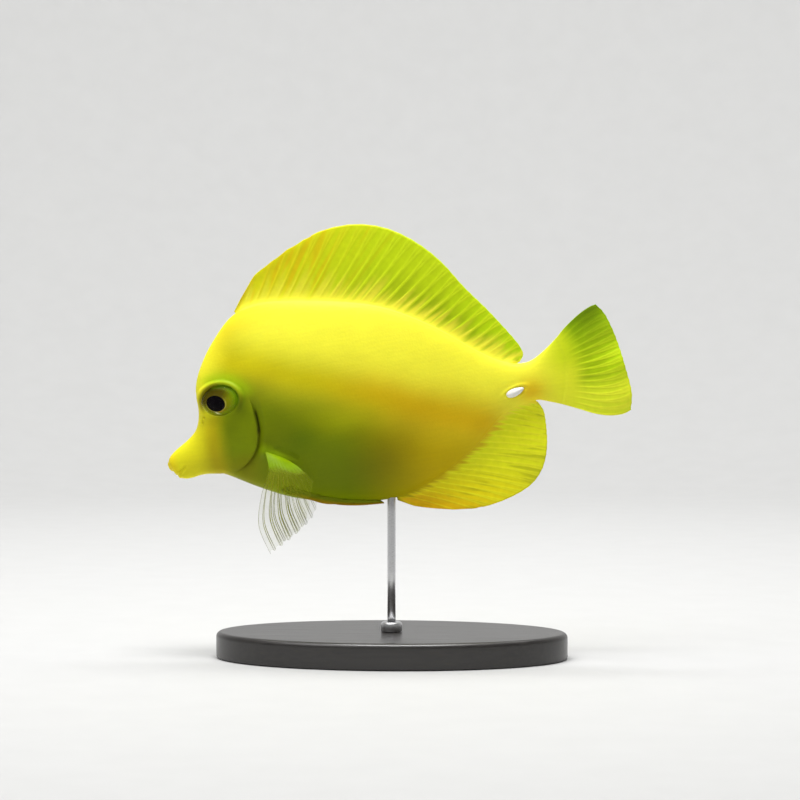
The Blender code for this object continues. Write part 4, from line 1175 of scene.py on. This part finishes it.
def anal_colours(f):
    """Bright yellow web and rays, orange at the front edge, with thin dark lines to the free edge."""
    reach, share, _ = f.mark("fin")
    front = f.smooth(share, 0.50, 0.10)
    low = f.smooth(share, 0.20, 0.02) * f.smooth(reach, 0.0, 0.25)
    web = f.mix(low * 0.7, f.mix(front, tint(248, 255, 34), tint(255, 238, 20)), tint(236, 172, 6))
    ray = f.mix(low * 0.6, f.mix(front, tint(252, 255, 44), tint(255, 250, 36)), tint(246, 196, 10))
    lines = f.smooth(along_rays(f, 1.1, 1.4), 0.52, 0.66) * f.smooth(reach, 0.25, 0.6)
    # The web carries a faint painted shadow beside the rays.
    return f.shade(web, 1 - painted_ray_shadows(f, 0.6) * 0.08 - lines * 0.26), f.shade(ray, 1 - lines * 0.12)


def tail_colours(f):
    """Lime, darker and greener in the upper lobe as painted shade and darkest at its corner, palest below,
    with painted shadows between the middle rays.
    """
    reach, share, _ = f.mark("fin")
    upper, lower = f.smooth(share, 0.55, 0.0), f.smooth(share, 0.55, 0.85)
    web = f.mix(lower, f.mix(upper, tint(200, 232, 18), tint(150, 190, 8)), tint(244, 255, 50))
    ray = f.mix(lower, f.mix(upper, tint(220, 242, 34), tint(160, 198, 10)), tint(250, 255, 56))
    # Painted shade on the upper lobe's corner, and painted shadow between the middle rays.
    painted_corner_shade = f.bell(reach, 0.72, 0.34) * f.smooth(share, 0.40, 0.05) * 0.36
    gap = painted_ray_shadows(f, 0.8) * f.bell(share, 0.50, 0.20)
    lines = f.smooth(along_rays(f, 0.9, 1.2), 0.48, 0.66)
    lines = lines * f.bell(share, 0.50, 0.24) * f.smooth(reach, 0.1, 0.3)
    return f.shade(web, 1 - gap * 0.20 - lines * 0.18 - painted_corner_shade), f.shade(ray, 1 - lines * 0.12 - painted_corner_shade)


def pelvic_colours(f):
    """Olive, and golden brown at the lowest ray."""
    _, share, _ = f.mark("fin")
    low = f.smooth(share, 0.7, 0.0)
    web = f.mix(low, tint(126, 140, 4), tint(186, 148, 6))
    return web, f.mix(low, tint(136, 148, 6), tint(200, 156, 10))


def pectoral_finish():
    """Clear web with olive rays, fleshy and green at its foot."""
    f = Finish("tang_clear_fin")
    place = f.fish_place()
    _, off_body, crest = f.mark("ray")
    reach, share, _ = f.mark("fin")
    flesh = f.smooth(off_body + (0.5 - f.noise(place, 0.35, 1.0)) * 3.0, 9.5, 5.5)
    bone = f.smooth(crest, 0.30, 0.85)
    colour = f.mix(bone, tint(150, 156, 40), tint(138, 142, 16))
    colour = f.paint(colour, (flesh, (120, 151, 1)))
    colour = f.mix(f.smooth(off_body, 3.6, 0.4), colour, skin_tint(f, place))
    mottle = f.noise(place, 0.6, 2.0)
    colour = f.shade(colour, 0.92 + mottle * 0.16)
    open_web = 0.03 + 0.06 * mottle + f.smooth(off_body, 17.0, 7.0) * f.smooth(share, 0.95, 0.5) * 0.12
    fade = (1 - 0.6 * f.smooth(reach, 0.70, 1.0)) * (1 - 0.5 * f.smooth(share, 0.35, 0.75))
    bare = f.smooth(off_body, 16.0, 24.0) * 0.28 + 0.60
    solid = f.larger(f.larger(open_web, bone * bare * fade), flesh)
    normal = f.bump(f.sine(off_body * 8.0) * crest * 0.3 + mottle * 0.5, 0.04, 0.5)
    rough = 0.40 + mottle * 0.08
    return f.done(f.surface(Base_Color=colour, Roughness=rough, Alpha=solid, Normal=normal, IOR=1.14))


def eye_finish():
    """A black pupil with a thin pale ring, and an olive iris, browner above and before the pupil with
    painted shade of the rim above it. Below the pupil is a painted highlight, and at the upper rear of the
    edge a dark green line of painted shade.
    """
    f = Finish("tang_eye")
    k, across, up = f.mark("iris")
    streak = f.drawn(f.mark_vector("iris"), (1.2, 9.0, 9.0), 3.0)
    lid = f.smooth(k, 1.50, 1.85) * f.smooth(across, -0.55, -0.10)
    # Painted shade from the fold of skin above the eye, browner above and before the pupil.
    brow = f.smooth(up - across * 0.75, -0.5, 0.8) * (1 - lid * 0.8)
    iris = f.mix(f.smooth(k, 1.25, 1.80), tint(132, 136, 8), tint(118, 146, 5))
    colour = f.shade(f.paint(iris, (brow * 0.92, (74, 62, 2))), 0.78 + streak * 0.44)
    open_side = f.smooth(k, 1.35, 1.85) * f.smooth(up * 0.95 + across * 0.10, 0.0, -0.75)
    colour = f.mix(open_side, colour, skin_tint(f, f.fish_place()))
    ring = f.bell(k, 1.07, 0.05) * f.smooth(across * 0.7 - up, -0.7, 0.3)
    warm = f.bell(k, 1.12, 0.10) * f.bell(across, 0.50, 0.25) * f.smooth(up, 0.0, -0.6)
    # A painted highlight below the pupil, and a dark green line of painted shade in the gap at the upper
    # rear of the edge.
    painted_glint = f.bell(k, 1.34, 0.20) * f.bell(across, 0.05, 0.10) * f.smooth(up, 0.0, -0.5)
    line = f.bell(k, 1.86, 0.07) * f.smooth(across + up * 0.6, 0.1, 0.8)
    pupil = 1 - f.smooth(k, 0.985, 1.025)
    colour = f.paint(
        colour,
        (ring * 0.55, (206, 186, 90)),
        (warm * 0.6, (186, 120, 40)),
        (painted_glint, (255, 252, 200)),
        (line * 0.55, (84, 128, 4)),
        (pupil, (8, 4, 10)),
    )
    normal = f.bump(streak * (1 - pupil), 0.08, 0.5)
    return f.done(f.surface(Base_Color=colour, Roughness=0.42 - pupil * 0.12, IOR=1.16, Normal=normal))


def cornea_finish():
    """Clear, with only a faint gloss."""
    f = Finish("tang_cornea")
    gloss = f.node("ShaderNodeBsdfGlossy", None, {"Color": (1.0, 1.0, 1.0, 1.0), "Roughness": 0.06})
    clear = f.node("ShaderNodeBsdfTransparent", None, {"Color": (0.99, 0.99, 0.96, 1.0)})
    fresnel = f.node("ShaderNodeFresnel", None, {"IOR": 1.36})
    mirror = Amount(f, fresnel.outputs[0]) * 0.05
    mixed = f.node("ShaderNodeMixShader", None, {0: mirror, 1: clear.outputs[0], 2: gloss.outputs[0]})
    return f.done(mixed)


def spine_finish():
    """White bone, a little cloudy."""
    f = Finish("tang_spine")
    cloud = f.noise(f.fish_place(), 0.7, 3.0)
    colour = f.mix(cloud, tint(255, 255, 255), tint(236, 232, 222))
    shader = f.surface(
        Base_Color=colour, Roughness=0.28 + cloud * 0.12, IOR=1.5, Subsurface_Weight=0.2,
        Subsurface_Radius=(1.0, 0.9, 0.7), Subsurface_Scale=0.0008, Normal=f.bump(cloud, 0.05, 0.5),
    )
    return f.done(shader)


def wood_finish():
    """Ebonised wood under a satin lacquer."""
    f = Finish("stand_black_wood")
    where = f.object_place()
    grain, pores = f.drawn(where, (40.0, 900.0, 900.0), 4.0), f.drawn(where, (160.0, 2600.0, 2600.0), 2.0)
    colour = f.mix(grain, (0.010, 0.009, 0.009, 1.0), (0.030, 0.026, 0.023, 1.0))
    normal = f.bump(grain * 0.5 + f.smooth(pores, 0.5, 0.75) * -0.6, 0.06, 0.5)
    shader = f.surface(
        Base_Color=colour, Roughness=0.30 + grain * 0.16, Normal=normal,
        Coat_Weight=0.35, Coat_Roughness=0.18,
    )
    return f.done(shader)


def steel_finish():
    """Steel brushed round the rod and the collar."""
    f = Finish("stand_brushed_steel")
    brush = f.drawn(f.object_place(), (900.0, 900.0, 9000.0), 2.0)
    colour = f.mix(brush, (0.50, 0.50, 0.51, 1.0), (0.68, 0.68, 0.69, 1.0))
    rough, normal = 0.22 + brush * 0.16, f.bump(brush, 0.01, 0.3)
    return f.done(f.surface(Base_Color=colour, Metallic=1.0, Roughness=rough, Normal=normal))


# Studio.


def make_sweep():
    """A pale round floor that curves up into a wall on every side."""
    bends = np.linspace(0, math.pi / 2, 24)[1:]
    line = [(0.0, 0.0), (FLOOR_RADIUS, 0.0)]
    line += [(FLOOR_RADIUS + WALL_BEND * math.sin(a), WALL_BEND - WALL_BEND * math.cos(a)) for a in bends]
    line.append((FLOOR_RADIUS + WALL_BEND, WALL_TOP))
    turns = circle(128)
    points = np.array([[(r * math.cos(t), r * math.sin(t), z) for t in turns] for r, z in line])
    mesh = bpy.data.meshes.new("studio_sweep")
    faces = grid_faces(*points.shape[:2], closed=True)
    mesh.from_pydata(points.reshape(-1, 3).tolist(), [], faces.tolist())
    mesh.shade_smooth()
    f = Finish("studio_paper")
    paper = f.mix(f.noise(f.object_place(), 60.0), (0.51, 0.51, 0.505, 1.0), (0.54, 0.54, 0.535, 1.0))
    mesh.materials.append(f.done(f.surface(Base_Color=paper, Roughness=0.9)))
    add_object("studio_sweep", mesh)


def lamp(name, place, size, power, faces=(0.0, 0.0, 0.09)):
    """A soft white lamp."""
    data = bpy.data.lights.new(name, "AREA")
    data.shape = "RECTANGLE"
    data.size, data.size_y = size
    data.energy = power
    obj = add_object(name, data)
    obj.location = place
    obj.rotation_euler = (Vector(faces) - Vector(place)).to_track_quat("-Z", "Y").to_euler()


def make_camera():
    """The photo's view of the left flank, a few degrees from behind and above."""
    picture_mm, middle = 272.0, Vector((2.9, 0.0, 88.0)) * MM
    azimuth, elevation, distance = math.radians(3.0), math.radians(2.0), 0.85
    level = math.cos(elevation)
    back = Vector((math.sin(azimuth) * level, -math.cos(azimuth) * level, math.sin(elevation)))
    data = bpy.data.cameras.new("camera")
    data.sensor_width = 36.0
    data.lens = data.sensor_width * distance / (picture_mm * MM)
    obj = add_object("camera", data)
    obj.location = middle + back * distance
    obj.rotation_euler = (-back).to_track_quat("-Z", "Y").to_euler()
    bpy.context.scene.camera = obj


def make_studio():
    make_sweep()
    lamp("overhead", (0.0, -0.10, 0.80), (0.40, 0.26), 6.3)
    lamp("side", (-0.40, -0.35, 0.75), (0.40, 0.35), 1.7)
    lamp("fill", (-0.4, -1.2, 0.35), (0.9, 0.7), 0.6)
    lamp("backdrop", (0.0, 0.35, 1.15), (1.4, 0.4), 14.0, faces=(0.0, 1.2, 0.25))
    world = bpy.data.worlds.new("studio")
    world.use_nodes = True
    background = world.node_tree.nodes["Background"]
    background.inputs["Color"].default_value = (1.0, 1.0, 1.0, 1.0)
    background.inputs["Strength"].default_value = 0.5
    bpy.context.scene.world = world
    bpy.context.scene.view_settings.view_transform = "Standard"


def make_fish():
    make_skin(skin_finish())
    eye, cornea, spine, clear = eye_finish(), cornea_finish(), spine_finish(), pectoral_finish()
    dorsal = fin_finish("tang_dorsal_fin", dorsal_colours, LIME, 12.0, shorten=0.45)
    anal = fin_finish("tang_anal_fin", anal_colours, GOLD, 4.0)
    pelvic = fin_finish("tang_pelvic_fin", pelvic_colours, AMBER)
    upright_fin("dorsal_fin", DORSAL_ROOT, DORSAL_EDGE, 5, 24, 0.68, -0.03, 0.45, dorsal)
    upright_fin("anal_fin", ANAL_ROOT, ANAL_EDGE, 3, 20, 0.45, 0.05, 0.40, anal)
    make_tail_fin(fin_finish("tang_tail_fin", tail_colours, LIME, 7.0, 0.15))
    for name, side in SIDES.items():
        make_eyeball(name, side, eye)
        make_cornea(name, side, cornea)
        make_tail_spine(name, side, spine)
        make_pectoral(name, side, clear)
        make_pelvic(name, side, pelvic)


def main():
    make_camera()
    make_studio()
    make_fish()
    make_stand(wood_finish(), steel_finish())


main()
